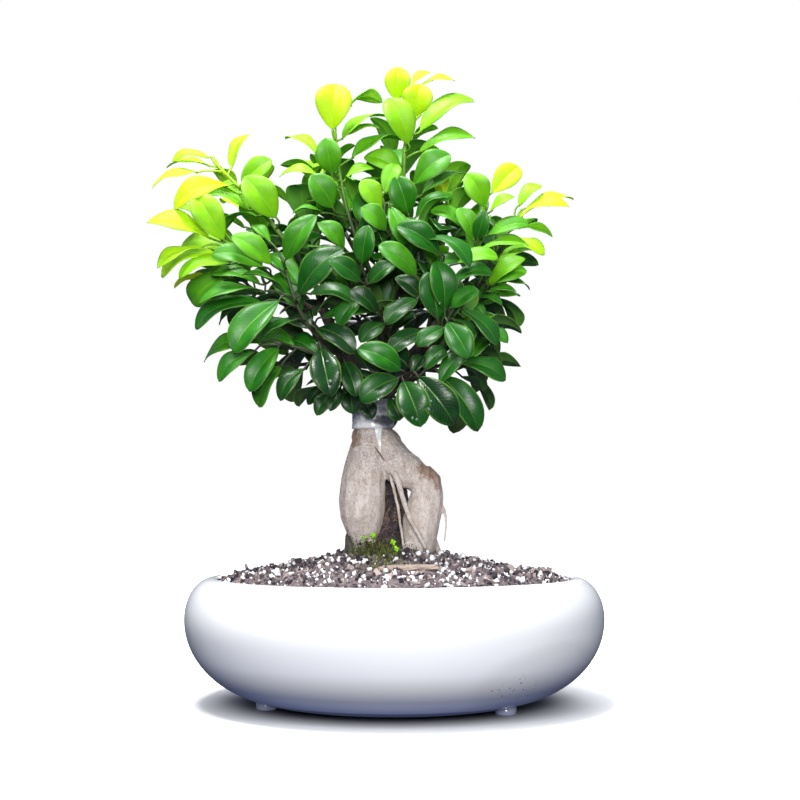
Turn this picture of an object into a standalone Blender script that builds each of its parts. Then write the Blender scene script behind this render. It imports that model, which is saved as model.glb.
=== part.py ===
# Ginseng ficus in a white glazed bowl.
#
# A grafted fig stands on two swollen roots in a low round bowl of soil. A silvery grafting tape
# joins the rootstock to its woody branches, and leafy green shoots sit on the branch ends.
# Tables are in millimetres from the bowl's axis and the floor; meshes are in metres, +Z up,
# and the front of the plant faces -Y. Neighbouring pieces stay JOINT_GAP or more apart.

import math
import random
from collections import namedtuple

import bmesh
import bpy
from mathutils import Euler, Matrix, Vector, noise
from mathutils.bvhtree import BVHTree

for old in list(bpy.data.objects):
    bpy.data.objects.remove(old, do_unlink=True)

MM = 0.001
AXIS_X = 13.0            # the bowl's axis lies this far right of the middle of the whole part
JOINT_GAP = 0.35         # between pieces that touch on the real plant

# Bowl: an upper and a lower quarter ellipse on each face, joined at the widest height.
BOWL_RADIUS = 168.0
WALL = 7.0
WIDEST_HEIGHT = 68.0
RIM_HEIGHT = 100.0
RIM_CENTRE_RADIUS = 146.0
FLOOR_RADIUS = 90.0
UNDERSIDE_HEIGHT = 3.0
DRAIN_RADIUS = 7.0
BOWL_SIDES = 32
FOOT_RADIUS = 8.0
FOOT_CHAMFER = 1.2
FOOT_TOP = 8.0           # inside the bowl's wall
FOOT_SIDES = 10
FOOT_CIRCLE = 107.0
FOOT_ANGLES = (202.0, 322.0, 82.0)

# Soil: a low mound, highest at the trunk, with a loose surface.
SOIL_MOUND = ((153.0, 87.5), (145.0, 90.5), (130.0, 97.0), (106.0, 105.0), (74.0, 111.5),
              (38.0, 118.0), (12.0, 124.0))
SOIL_RELIEF = 1.6
RELIEF_HEIGHT = 96.0     # only above this height and inside this radius
RELIEF_RADIUS = 140.0
RELIEF_SCALE = 60.0
PEAT_HUMP = ((-4.0, 8.0, 108.0, 24.0), (-2.0, 9.0, 128.0, 18.0), (-1.0, 10.0, 150.0, 14.0),
             (0.0, 11.0, 166.0, 12.0), (2.0, 13.0, 180.0, 8.0))
HUMP_SIDES = 8

# Net over the drain hole.
NET_RADIUS = 15.0
NET_THICKNESS = 0.8
NET_SIDES = 24
NET_PITCH = 7.0
NET_HOLE = 4.6

# A flat bark chip lies on the soil in front of the roots.
CHIP_SIZE = (49.0, 11.0, 3.0)
CHIP_PLACE = (10.0, -80.0, 111.2)
CHIP_TILT = (math.radians(8.0), math.radians(-1.5), math.radians(2.0))

# Swollen roots, aerial roots and rootlets: x, y, z, radius along each.
NECK_X = -17.5
NECK_RADIUS = 15.2
ROOT_SIDES = 12
ROOTLET_SIDES = 6
SWOLLEN_ROOTS = (
    ((NECK_X, 0, 233.6, 14.6), (NECK_X, 0, 220, NECK_RADIUS), (-19.5, 0, 207, 15.8),
     (-23, -1, 194, 16.6), (-25.5, -2, 178, 18.4), (-26.3, -2, 162, 19.4), (-26, -2, 149, 18.4),
     (-25.5, -1, 138, 14.8), (-25, 0, 127, 9.4), (-25, 1, 115, 6.8), (-25.5, 2, 101, 5.2),
     (-26, 3, 88, 4.0)),
    ((-16.5, 0, 216, 13.0), (-7, 0, 203, 15.0), (3, -1, 190, 15.4), (12, -1.5, 184.5, 14.6),
     (20, -2, 178.5, 12.0), (25, -2, 173, 8.0)),
    ((22, -1, 186, 8.0), (26.5, -2, 178, 11.6), (26.6, -2.5, 168, 13.2), (24.5, -3, 157, 14.8),
     (21.5, -3, 144, 15.6), (20.5, -2, 132, 14.4), (19.5, -1, 120, 12.2), (20, 1, 108, 9.5),
     (21, 2, 92, 6.0)),
)
ROOTLETS = (
    ((-1.5, -12, 185.5, 2.2), (1.8, -17.5, 179.5, 2.1), (5.8, -19.5, 165.8, 2.0),
     (11.1, -20, 149.7, 1.9), (16.5, -20, 139.3, 1.8), (23, -17, 127, 1.6), (28, -11, 116, 1.4),
     (29.5, -10, 104, 1.2)),
    ((-2.5, -11, 179, 1.3), (-0.5, -15.5, 171, 1.2), (2.5, -17, 158, 1.1), (5.1, -18.5, 141.7, 1.1),
     (7.6, -16.5, 122, 1.0), (8, -15, 106, 0.9)),
    ((34, -4, 162, 1.4), (39.5, -6, 155, 1.2), (41.5, -7, 146, 1.1), (40.5, -8, 129, 0.9)),
    ((-31, 4, 144, 3.6), (-36, 4, 132, 4.4), (-36.5, 3, 122, 4.6), (-37, 3, 110, 4.0),
     (-38, 3, 98, 3.0)),
    ((16, -8, 134, 4.0), (10, -11, 124, 3.6), (5, -12, 114, 3.0), (3, -13, 100, 2.4)),
    ((-22, -6, 134, 4.4), (-15, -11, 123, 3.6), (-10, -15, 113, 3.0), (-8, -17, 100, 2.4)),
    ((-28, 8, 136, 5.0), (-34, 16, 124, 4.2), (-40, 22, 112, 3.4), (-43, 25, 98, 2.6)),
    ((26, 6, 140, 4.6), (33, 13, 126, 3.8), (38, 18, 113, 3.0), (40, 20, 98, 2.4)),
)

# Grafting tape round the neck.
TAPE_LOW = 220.5
TAPE_HIGH = 244.0
TAPE_RADIUS = 17.4
TAPE_EASE = 0.25         # inside, besides the gap
TAPE_SIDES = 20

# Woody limbs above the graft: x, y, z, radius along each.
LIMB_SIDES = 5
STUMP_SIDES = 14
STUMP = ((NECK_X, 0, 234, 14.4), (NECK_X, 0, 244, 14.4), (NECK_X, 0, 250, 11.0))
LIMBS = (
    ((-17, 0, 242, 7.5), (-12, 4, 279, 6.5), (-4, 8, 312, 5.0), (1, 6, 334, 4.0)),
    ((-21, -3, 242, 6.5), (-34, -13, 269, 6.0), (-50, -20, 298, 5.0), (-60, -20, 320, 4.0)),
    ((-14, -3, 242, 6.5), (3, -12, 266, 6.0), (20, -18, 284, 5.0), (34, -18, 302, 4.0)),
    ((-17, 4, 242, 6.5), (-10, 26, 269, 6.0), (-3, 38, 297, 5.0), (0, 44, 320, 4.0)),
    ((-21, 3, 242, 6.0), (-40, 18, 270, 5.5), (-62, 24, 298, 4.5), (-74, 24, 314, 3.8)),
    ((-14, 3, 242, 6.0), (14, 16, 270, 5.5), (36, 22, 292, 4.5), (50, 20, 308, 3.8)),
    ((-16, -4, 245, 5.0), (-3, -26, 256, 4.8), (5, -42, 270, 4.2)),
    ((18, -18, 282, 4.2), (33, -36, 300, 3.6), (41, -44, 314, 3.2)),
)
TWIG_SIDES = 4
TWIG_RADIUS = 2.3
TWIG_BEND = 0.45         # of a twig's length, in line with the shoot it carries

# Leaves.
LEAF_THICKNESS = 0.8
LEAF_CLEARANCE = 0.6     # kept to every other leaf and stem
STALK_RADIUS = 0.9
STALK_LENGTH = 10.0
LEAST_STALK = 5.0
STEM_SIDES = 4
STEM_FOOT_RADIUS = 2.1
STEM_TIP_RADIUS = 1.3
TIP_REACH = 1.06         # the narrow end of a blade beyond its last broad part
BLADE_RATIO = 0.52       # least width over length
GROWN_RATIO = 0.62       # width over length of the leaves that grow by rule
RIBBED_LEAF = 20.0       # front leaves this wide, seen flat, are drawn with their rib
BROAD_LEAF = 26.0        # ribbed leaves wider than this have a third row of points
PLAIN_ROWS = (0.24, 0.7)
BROAD_ROWS = (0.14, 0.45, 0.8)
LEAF_ARCH = 0.09         # height of the rib's arch over the blade's length
LEAF_FOLD = math.radians(16.0)
GOLDEN_ANGLE = math.radians(137.508)
FIRST_LEAF = 0.22        # how far up its stem the lowest leaf grows
SIZE_SPREAD = (0.88, 1.08)
TIP_SHRINK = 0.25        # how much smaller the last leaf is
LOW_SPREAD = 78.0        # degrees between stem and leaf at the stem's foot and at its tip
HIGH_SPREAD = 34.0
HANG = 0.35
SEED = 5071

# Shoots seen from the front: name, stem points, then its front leaves as blade foot, blade tip,
# width and turn. A turn of 0 shows the upper face to the front, 90 turns it up.
FRONT_SHOOTS = (
    ("leader_top", ((5, 4, 357), (7, -6, 413), (9, -6, 458), (15, 0, 501)), (
        ((2, -4, 492), (3, -12, 516), 24, 0),
        ((14, 4, 506), (29, 8, 520), 11, 35),
        ((21, 2, 505), (48, 6, 514), 10, 50),
        ((17, -10, 477), (21, -18, 500), 28, 0),
        ((11, -16, 452), (-4, -26, 485), 27, 10),
        ((4, -14, 472), (-40, -30, 458), 13, 55),
        ((21, -4, 466), (62, 4, 497), 18, 35),
        ((21, -8, 448), (63, -8, 462), 19, 40),
        ((16, -18, 418), (42, -28, 440), 24, 10),
        ((8, -14, 423), (-22, -20, 441), 21, 20),
        ((11, -20, 393), (2, -34, 419), 24, 0),
        ((17, -12, 392), (44, -16, 409), 18, 30),
        ((22, -2, 413), (55, 6, 435), 15, 45),
        ((25, -14, 386), (46, -20, 398), 16, 30),
    )),
    ("leader_left", ((-17, -12, 341), (-34, -26, 381), (-42, -30, 412), (-49, -26, 455)), (
        ((-50, -30, 460), (-48, -34, 495), 31, 0),
        ((-37, -14, 484), (-9, -6, 497), 12, 45),
        ((-44, -22, 454), (-15, -18, 467), 13, 50),
        ((-35, -26, 437), (3, -20, 460), 16, 45),
        ((-50, -38, 422), (-54, -52, 445), 22, 5),
        ((-44, -30, 416), (-19, -30, 429), 14, 40),
        ((-49, -40, 394), (-64, -54, 415), 24, 5),
        ((-57, -34, 416), (-90, -34, 423), 12, 50),
        ((-57, -38, 390), (-79, -46, 390), 12, 50),
        ((-61, -24, 439), (-87, -14, 459), 11, 45),
        ((-32, -34, 369), (-8, -44, 387), 19, 15),
        ((-40, -40, 362), (-58, -52, 378), 18, 15),
    )),
    ("left_high", ((-71, -14, 347), (-101, -22, 387), (-126, -24, 414), (-144, -22, 433)), (
        ((-151, -22, 439), (-179, -22, 439), 12, 40),
        ((-150, -18, 433), (-185, -10, 437), 10, 55),
        ((-158, -26, 426), (-193, -34, 415), 13, 45),
        ((-133, -18, 432), (-122, -12, 461), 12, 40),
        ((-123, -30, 415), (-101, -40, 432), 20, 5),
        ((-95, -34, 387), (-117, -48, 415), 29, 0),
        ((-133, -34, 413), (-172, -48, 395), 23, 20),
        ((-118, -18, 397), (-158, -10, 410), 16, 40),
    )),
    ("left_mid", ((-75, -30, 320), (-105, -36, 345), (-122, -38, 359), (-135, -40, 367)), (
        ((-135, -46, 367), (-156, -56, 400), 26, 0),
        ((-147, -42, 369), (-191, -52, 382), 18, 35),
        ((-156, -38, 388), (-173, -34, 395), 8, 40),
        ((-132, -28, 360), (-170, -18, 372), 16, 35),
        ((-152, -44, 361), (-185, -52, 347), 13, 45),
        ((-141, -36, 357), (-185, -34, 344), 16, 40),
        ((-130, -44, 348), (-167, -54, 339), 15, 40),
        ((-103, -52, 344), (-138, -66, 353), 19, 25),
        ((-107, -40, 333), (-143, -42, 342), 15, 40),
        ((-133, -34, 344), (-168, -30, 320), 17, 30),
    )),
    ("left_front", ((-48, -30, 279), (-68, -44, 299), (-79, -52, 321), (-86, -54, 345)), (
        ((-96, -60, 345), (-123, -72, 364), 21, 10),
        ((-85, -60, 348), (-63, -76, 378), 22, 5),
        ((-98, -50, 364), (-111, -46, 379), 9, 35),
        ((-74, -62, 320), (-43, -80, 352), 22, 10),
        ((-76, -44, 331), (-100, -34, 358), 17, 25),
        ((-101, -56, 324), (-149, -66, 317), 13, 55),
        ((-103, -52, 316), (-154, -54, 301), 16, 45),
        ((-89, -64, 316), (-122, -80, 279), 20, 20),
        ((-79, -56, 301), (-102, -64, 290), 13, 35),
        ((-67, -56, 322), (-32, -64, 317), 17, 35),
        ((-56, -52, 304), (-22, -62, 309), 17, 30),
        ((-61, -58, 295), (-32, -74, 278), 16, 20),
    )),
    ("left_low", ((-34, -24, 259), (-51, -38, 270), (-69, -48, 279), (-87, -52, 283)), (
        ((-104, -46, 285), (-148, -46, 274), 13, 40),
        ((-109, -54, 277), (-135, -62, 256), 15, 25),
        ((-90, -62, 279), (-110, -76, 248), 21, 10),
        ((-89, -48, 266), (-107, -46, 237), 16, 30),
        ((-70, -54, 264), (-88, -62, 241), 17, 25),
        ((-57, -66, 278), (-49, -84, 244), 26, 0),
        ((-39, -56, 269), (-30, -70, 244), 18, 10),
        ((-33, -46, 263), (-17, -52, 250), 13, 25),
    )),
    ("low_back_left", ((-33, -14, 252), (-45, -20, 256), (-56, -22, 259)), (
        ((-51, -18, 255), (-69, -22, 240), 14, 25),
        ((-48, -24, 250), (-61, -34, 231), 14, 15),
        ((-43, -30, 251), (-50, -42, 234), 13, 0),
        ((-36, -30, 251), (-33, -40, 233), 18, 0),
        ((-26, -26, 243), (-18, -34, 228), 14, 10),
    )),
    ("low_front", ((-5, -28, 246), (3, -46, 250), (10, -62, 257)), (
        ((5, -70, 261), (-25, -82, 276), 23, 5),
        ((3, -72, 255), (-24, -84, 239), 23, 10),
        ((7, -74, 252), (19, -88, 220), 27, 0),
        ((18, -74, 255), (43, -86, 223), 29, 0),
        ((13, -66, 258), (22, -62, 273), 12, 10),
        ((23, -62, 262), (38, -58, 279), 16, 15),
        ((35, -58, 252), (54, -52, 277), 16, 20),
        ((-4, -50, 241), (4, -54, 225), 16, 10),
    )),
    ("low_right", ((19, -34, 263), (33, -38, 267), (49, -34, 273)), (
        ((36, -52, 258), (64, -62, 219), 21, 15),
        ((50, -40, 271), (86, -44, 259), 18, 30),
        ((60, -26, 273), (76, -16, 292), 13, 30),
        ((53, -40, 280), (62, -44, 295), 14, 20),
    )),
    ("right_front", ((31, -40, 284), (37, -52, 295), (44, -58, 307)), (
        ((41, -70, 298), (55, -86, 272), 22, 0),
        ((38, -66, 294), (19, -76, 281), 16, 15),
        ((23, -62, 292), (-3, -74, 277), 17, 20),
        ((18, -62, 317), (-6, -74, 300), 17, 20),
        ((43, -60, 310), (63, -66, 324), 16, 20),
        ((45, -54, 303), (63, -52, 291), 9, 50),
        ((70, -42, 298), (89, -42, 286), 9, 45),
        ((53, -56, 310), (80, -58, 285), 14, 35),
    )),
    ("right_mid", ((28, -28, 303), (33, -40, 327), (36, -46, 348)), (
        ((35, -56, 354), (5, -70, 373), 23, 5),
        ((24, -60, 365), (57, -76, 345), 14, 45),
        ((17, -54, 337), (-9, -68, 358), 20, 10),
        ((49, -50, 347), (79, -54, 353), 14, 30),
        ((45, -46, 332), (75, -46, 342), 16, 30),
        ((23, -50, 317), (3, -60, 334), 17, 20),
    )),
    ("right_low_out", ((47, 6, 301), (67, 16, 323), (84, 20, 341)), (
        ((85, 22, 360), (122, 26, 371), 10, 50),
        ((79, 10, 340), (105, 2, 361), 16, 30),
        ((76, 16, 341), (107, 24, 353), 10, 50),
        ((78, 8, 334), (99, 4, 335), 10, 45),
        ((92, 26, 345), (114, 34, 342), 10, 45),
        ((70, 4, 328), (87, -4, 323), 11, 40),
        ((58, 0, 323), (73, -8, 312), 12, 30),
        ((62, 10, 312), (85, 8, 301), 14, 30),
    )),
    ("right_high", ((49, -22, 318), (59, -26, 341), (66, -28, 366), (74, -26, 395)), (
        ((73, -30, 397), (59, -40, 420), 23, 0),
        ((79, -22, 410), (100, -20, 432), 22, 0),
        ((77, -30, 393), (94, -34, 405), 12, 35),
        ((63, -38, 368), (52, -50, 390), 16, 15),
        ((66, -38, 369), (71, -48, 391), 13, 15),
        ((60, -32, 376), (32, -38, 393), 17, 30),
        ((74, -32, 373), (105, -36, 383), 16, 30),
        ((69, -34, 361), (104, -40, 366), 13, 45),
        ((58, -34, 350), (29, -42, 348), 16, 30),
    )),
    ("right_high_out", ((69, 18, 340), (88, 26, 375), (105, 30, 401)), (
        ((112, 32, 409), (150, 36, 421), 10, 50),
        ((106, 24, 400), (144, 16, 409), 11, 50),
        ((104, 26, 391), (132, 24, 386), 11, 45),
        ((106, 34, 412), (124, 40, 432), 14, 30),
        ((92, 20, 378), (124, 14, 370), 12, 40),
    )),
    ("centre_front", ((-5, -34, 292), (-16, -52, 317), (-24, -60, 339)), (
        ((-26, -70, 330), (-49, -84, 344), 17, 10),
        ((-25, -68, 344), (-21, -84, 368), 18, 5),
        ((-20, -64, 329), (-2, -72, 343), 17, 20),
        ((-14, -60, 307), (-32, -72, 322), 17, 20),
        ((-8, -58, 299), (-25, -70, 285), 17, 20),
        ((-25, -62, 319), (-41, -76, 301), 17, 20),
    )),
    ("centre_high", ((-4, -18, 348), (-5, -30, 372), (-8, -34, 395)), (
        ((-11, -40, 393), (-25, -50, 412), 19, 10),
        ((-4, -46, 393), (7, -58, 366), 17, 10),
        ((-7, -44, 375), (-25, -54, 391), 19, 15),
        ((-2, -40, 372), (20, -48, 379), 16, 30),
        ((-8, -30, 408), (1, -26, 433), 16, 25),
    )),
)
REAR_LEAVES = 3          # more on the far side of each front shoot
REAR_FIRST = 0.25
REAR_STEP = 0.22
REAR_SCATTER = 0.08
REAR_TURN = (0.9, 2.2)
REAR_LENGTH = 38.0

# Shoots at the sides, back and inside: name, stem points, number of leaves, blade length.
ROUND_SHOOTS = (
    ("back_high", ((-2, 34, 386), (0, 52, 422), (4, 60, 460)), 8, 47),
    ("back_high_left", ((-34, 34, 374), (-50, 54, 408), (-60, 62, 444)), 8, 47),
    ("back_high_right", ((22, 38, 374), (36, 58, 402), (42, 66, 434)), 7, 47),
    ("back_mid", ((2, 62, 342), (4, 88, 370), (6, 102, 402)), 8, 48),
    ("back_mid_left", ((-44, 54, 339), (-70, 80, 364), (-84, 92, 392)), 8, 48),
    ("back_mid_right", ((38, 52, 336), (60, 76, 358), (70, 86, 386)), 7, 48),
    ("left_back_high", ((-88, 28, 360), (-118, 40, 390), (-132, 44, 418)), 7, 45),
    ("left_back", ((-92, 46, 328), (-122, 64, 344), (-142, 72, 364)), 7, 46),
    ("left_out", ((-86, 8, 324), (-120, 12, 336), (-144, 12, 348)), 7, 46),
    ("back_low", ((4, 56, 298), (8, 88, 308), (10, 112, 322)), 7, 48),
    ("back_low_left", ((-48, 42, 294), (-74, 72, 304), (-90, 90, 316)), 7, 48),
    ("back_low_right", ((40, 42, 298), (62, 66, 310), (74, 82, 324)), 6, 48),
    ("right_back", ((62, 30, 326), (80, 46, 346), (90, 56, 372)), 7, 46),
    ("under_back", ((-10, 38, 270), (-14, 64, 271), (-16, 84, 275)), 6, 46),
    ("under_left", ((-50, 12, 278), (-78, 16, 274), (-98, 18, 276)), 6, 46),
    ("under_right", ((20, 10, 270), (44, 20, 269), (62, 28, 275)), 6, 46),
    ("inner_left", ((-60, 2, 342), (-70, 2, 372), (-76, 4, 402)), 8, 46),
    ("inner_right", ((30, 4, 342), (40, 6, 372), (46, 8, 404)), 8, 46),
    ("inner_front_low", ((-24, -20, 296), (-32, -32, 314), (-36, -38, 336)), 8, 46),
    ("inner_front_mid", ((-31, -2, 346), (-31, -8, 372), (-31, -8, 400)), 8, 46),
    ("inner_front_right", ((12, -8, 326), (15, -16, 352), (16, -20, 380)), 8, 46),
    ("inner_low_mid", ((-10, -8, 276), (-9, -18, 294), (-8, -24, 314)), 7, 46),
    ("inner_low_right", ((26, -4, 276), (40, -8, 288), (52, -10, 300)), 7, 46),
    ("inner_high", ((-10, 22, 336), (-14, 24, 358), (-16, 22, 384)), 7, 50),
    ("inner_mid_left", ((-38, 6, 292), (-42, 10, 310), (-42, 12, 332)), 7, 50),
    ("inner_mid_right", ((18, 26, 300), (20, 28, 318), (20, 28, 340)), 7, 50),
)

Leaf = namedtuple("Leaf", "attach foot tip normal width ribbed")
UP = Vector((0.0, 0.0, 1.0))
FRONT = Vector((0.0, -1.0, 0.0))


# Places

def along(points, distance):
    # The point and the direction at a distance from the start of a path.
    for a, b in zip(points, points[1:]):
        span = (b - a).length
        if distance <= span:
            break
        distance -= span
    else:
        distance = span
    return a.lerp(b, distance / span), (b - a).normalized()


def path_length(points):
    return sum((b - a).length for a, b in zip(points, points[1:]))


def nearest_on_path(points, place):
    # Distance along the path of its nearest point, and how far off the place is.
    best = (1e9, 0.0)
    walked = 0.0
    for a, b in zip(points, points[1:]):
        span = (b - a).length
        part = max(0.0, min(1.0, (place - a).dot(b - a) / (span * span)))
        best = min(best, ((place - a.lerp(b, part)).length, walked + part * span))
        walked += span
    return best[1], best[0]


def across(vector, axis):
    # What is left of the vector square to the axis.
    rest = vector - axis * vector.dot(axis)
    return rest.normalized() if rest.length > 1e-4 else axis.orthogonal().normalized()


# Plain meshes in millimetres, as vertices and faces

def tube(points, radii, sides, end_direction=None):
    places = [Vector(p) for p in points]
    verts, faces = [], []
    side = None
    for i, place in enumerate(places):
        before = place - places[max(i - 1, 0)]
        after = places[min(i + 1, len(places) - 1)] - place
        direction = (before.normalized() + after.normalized()).normalized()
        if i == len(places) - 1 and end_direction:
            direction = end_direction
        side = across(side or Vector((1.0, 0.3, 0.1)), direction)
        other = direction.cross(side)
        for k in range(sides):
            angle = math.tau * k / sides
            verts.append(place + (side * math.cos(angle) + other * math.sin(angle)) * radii[i])
    for i in range(len(places) - 1):
        for k in range(sides):
            a, b = i * sides + k, i * sides + (k + 1) % sides
            faces.append((a, b, b + sides, a + sides))
    faces.append(tuple(reversed(range(sides))))
    faces.append(tuple(range((len(places) - 1) * sides, len(places) * sides)))
    return verts, faces


def root_tube(stations, sides, grow=0.0):
    # The grown copy that cuts a root's hole is longer at both ends too.
    places = [Vector(s[:3]) for s in stations]
    places[0] += (places[0] - places[1]).normalized() * grow
    places[-1] += (places[-1] - places[-2]).normalized() * grow
    return tube(places, [s[3] + grow for s in stations], sides)


def blade_half(s):
    # Half width of the blade over its largest, from its foot at 0 to its tip at 1.
    return math.sin(math.pi * s ** 1.2) ** 0.75


def leaf_solid(leaf, grow=0.0):
    # An arched blade, folded at its rib where it is drawn with one, alike on both faces, that runs
    # down into a three-sided stalk. Returns the points, then the faces of the blade and the stalk.
    axis = (leaf.tip - leaf.foot).normalized()
    length = (leaf.tip - leaf.foot).length
    normal = across(leaf.normal, axis)
    side = normal.cross(axis)
    broad = leaf.ribbed and leaf.width > BROAD_LEAF
    rows = BROAD_ROWS if broad else PLAIN_ROWS
    columns = (1, 0, -1) if leaf.ribbed else (1, -1)
    half = LEAF_THICKNESS / 2 + grow
    top, low = [], []
    for s in rows:
        rib = leaf.foot.lerp(leaf.tip, s) + normal * (LEAF_ARCH * 4 * length * s * (1 - s))
        reach = leaf.width / 2 * blade_half(s) + grow
        for q in columns:
            place = rib + side * (q * reach * math.cos(LEAF_FOLD))
            if leaf.ribbed:
                place = place + normal * (abs(q) * reach * math.sin(LEAF_FOLD))
            top.append(place + normal * half)
            low.append(place - normal * half)
    n, last = len(top), len(columns) - 1
    tip = leaf.tip + axis * grow
    verts = top + low + [tip + normal * half, tip - normal * half]
    tip_top, tip_low = 2 * n, 2 * n + 1
    step = len(columns)
    blade = []
    for r in range(0, n - step, step):
        for a in range(r, r + last):
            b, c, d = a + 1, a + step + 1, a + step
            blade += [(a, b, c), (a, c, d), (a + n, c + n, b + n), (a + n, d + n, c + n)]
        for a in (r, r + last):
            blade += [(a, a + step, a + step + n), (a, a + step + n, a + n)]
    for a in range(n - step, n - 1):
        blade += [(a, a + 1, tip_top), (a + n + 1, a + n, tip_low)]
    for a in (n - step, n - 1):
        blade += [(a, tip_top, tip_low), (a, tip_low, a + n)]
    rings = [stalk_ring(leaf.attach, leaf, STALK_RADIUS + grow)]
    if broad:
        rings.insert(0, stalk_ring(leaf.foot, leaf, STALK_RADIUS + grow))
    stalk = []
    for i, ring in enumerate(rings):
        left = len(verts)
        right, under = left + 1, left + 2
        verts += ring
        if i == 0:
            stalk += [(left, right, 1), (left, 1, 0), (left, 0, n), (left, n, under),
                      (right, under, n + last), (right, n + last, last)]
            stalk += [(under, n + k, n + k + 1) for k in range(last)]
            stalk += [(right, 2, 1)] if leaf.ribbed else []
        else:
            for a, b in ((left, right), (right, under), (under, left)):
                stalk += [(a, b, b - 3), (a, b - 3, a - 3)]
    stalk.append((left, right, under))
    return verts, blade, stalk


def stalk_ring(place, leaf, radius):
    # Left, right and under corners of the stalk, square to its run.
    run = (leaf.foot - leaf.attach).normalized()
    axis = (leaf.tip - leaf.foot).normalized()
    side = across(across(leaf.normal, axis).cross(axis), run)
    lift = run.cross(side)
    return [place + side * radius + lift * radius * 0.6, place - side * radius + lift * radius * 0.6,
            place - lift * radius]


# Where each leaf grows

def front_leaf(stem, foot, tip, width, turn):
    # A leaf placed by hand, its stalk drawn back to the stem.
    foot, tip = Vector(foot), Vector(tip)
    tip = foot.lerp(tip, TIP_REACH)
    axis = (tip - foot).normalized()
    facing = across(FRONT + UP * 0.2, axis)
    rising = axis.cross(facing)
    if rising.z < 0.0 or (abs(rising.z) < 0.25 and rising.x * foot.x < 0.0):
        rising.negate()
    normal = facing * math.cos(math.radians(turn)) + rising * math.sin(math.radians(turn))
    where, off = nearest_on_path(stem, foot)
    if off < LEAST_STALK:
        foot = foot + axis * (LEAST_STALK - off)
    attach = along(stem, max(4.0, min(where - 0.5 * off, path_length(stem) - 1.0)))[0]
    length = (tip - foot).length
    ribbed = width >= RIBBED_LEAF and turn <= 25
    return Leaf(attach, foot, tip, normal, max(width, BLADE_RATIO * length), ribbed)


def grown_leaf(stem, part, azimuth, length):
    # A leaf of the spiral round a stem; low leaves spread and hang more than top ones.
    attach, direction = along(stem, part * path_length(stem))
    side = across(Vector((1.0, 0.2, 0.1)), direction)
    around = side * math.cos(azimuth) + direction.cross(side) * math.sin(azimuth)
    spread = math.radians(LOW_SPREAD + (HIGH_SPREAD - LOW_SPREAD) * part)
    out = direction * math.cos(spread) + around * math.sin(spread)
    foot = attach + out * STALK_LENGTH
    hang = (out - UP * HANG * (1.0 - part)).normalized()
    normal = across(direction + UP, hang)
    return Leaf(attach, foot, foot + hang * length, normal, GROWN_RATIO * length, False)


def turned_leaf(leaf, swing, lift, roll, scale):
    axis = leaf.tip - leaf.foot
    hinge = across(Vector((0.0, 1.0, 0.0)).cross(axis.normalized()) + UP * 0.01, axis.normalized())
    turn = Matrix.Rotation(math.radians(lift), 3, "Y") @ Matrix.Rotation(math.radians(swing), 3, hinge)
    axis = turn @ axis
    normal = Matrix.Rotation(math.radians(roll), 3, axis.normalized()) @ (turn @ leaf.normal)
    return leaf._replace(tip=leaf.foot + axis * scale, normal=normal, width=leaf.width * scale)


def turns_to_try():
    turns = [(swing, lift, roll, scale)
             for swing in (0, 10, -10, 20, -20, 32, -32, 45, -45) for lift in (0, 8, -8, 18, -18)
             for roll in (0, 18, -18, 36, -36) for scale in (1.0, 0.88, 0.76)]
    return sorted(turns, key=lambda t: abs(t[0]) + 1.6 * abs(t[1]) + 0.6 * abs(t[2]) + 130 * (1 - t[3]))


TURNS = turns_to_try()


class Crown:
    # The leaves and stems placed so far, which each new leaf keeps clear of.
    def __init__(self):
        self.stems = {}
        self.leaves = []

    def add_stem(self, name, mesh):
        self.stems[name] = BVHTree.FromPolygons(*mesh)

    def meets_stem(self, shoot, whole, blade):
        return any(tree.overlap(blade if name == shoot else whole) for name, tree in self.stems.items())

    def meets_leaf(self, shoot, middle, reach, whole, blade):
        for other, spot, far, other_whole, other_blade in self.leaves:
            if (spot - middle).length > far + reach:
                continue
            if blade.overlap(other_whole) or whole.overlap(other_blade):
                return True
            if other != shoot and whole.overlap(other_whole):
                return True
        return False

    def place(self, shoot, leaf):
        # The leaf as first drawn or, where it meets another, turned by as little as clears it.
        for turn in TURNS:
            tried = turned_leaf(leaf, *turn)
            verts, blade, stalk = leaf_solid(tried, LEAF_CLEARANCE)
            whole_tree = BVHTree.FromPolygons(verts, blade + stalk)
            blade_tree = BVHTree.FromPolygons(verts, blade)
            middle = tried.attach.lerp(tried.tip, 0.5)
            reach = max((v - middle).length for v in verts)
            if self.meets_leaf(shoot, middle, reach, whole_tree, blade_tree):
                continue
            if self.meets_stem(shoot, whole_tree, blade_tree):
                continue
            verts, blade, stalk = leaf_solid(tried)
            self.leaves.append((shoot, middle, reach, BVHTree.FromPolygons(verts, blade + stalk),
                                BVHTree.FromPolygons(verts, blade)))
            return tried
        return None


def stem_mesh(points):
    places = [Vector(p) for p in points]
    start = (places[1] - places[0]).normalized()
    places[0] = places[0] + start * JOINT_GAP
    steps = len(places) - 1
    radii = [STEM_FOOT_RADIUS + (STEM_TIP_RADIUS - STEM_FOOT_RADIUS) * i / steps
             for i in range(steps + 1)]
    return tube(places, radii, STEM_SIDES)


def twig_path(points):
    # From the nearest limb to a shoot's foot, arriving in line with the shoot.
    foot = Vector(points[0])
    direction = (Vector(points[1]) - foot).normalized()
    best = None
    for limb in LIMBS:
        path = [Vector(p[:3]) for p in limb]
        where, off = nearest_on_path(path, foot - direction * 14.0)
        start = along(path, where)[0]
        best = min(best or (1e9, None), (off, start), key=lambda b: b[0])
    start = best[1]
    bend = foot - direction * (foot - start).length * TWIG_BEND
    middle = start.lerp(bend, 0.5).lerp(bend.lerp(foot, 0.5), 0.5)
    return [start, middle, foot], direction


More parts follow.
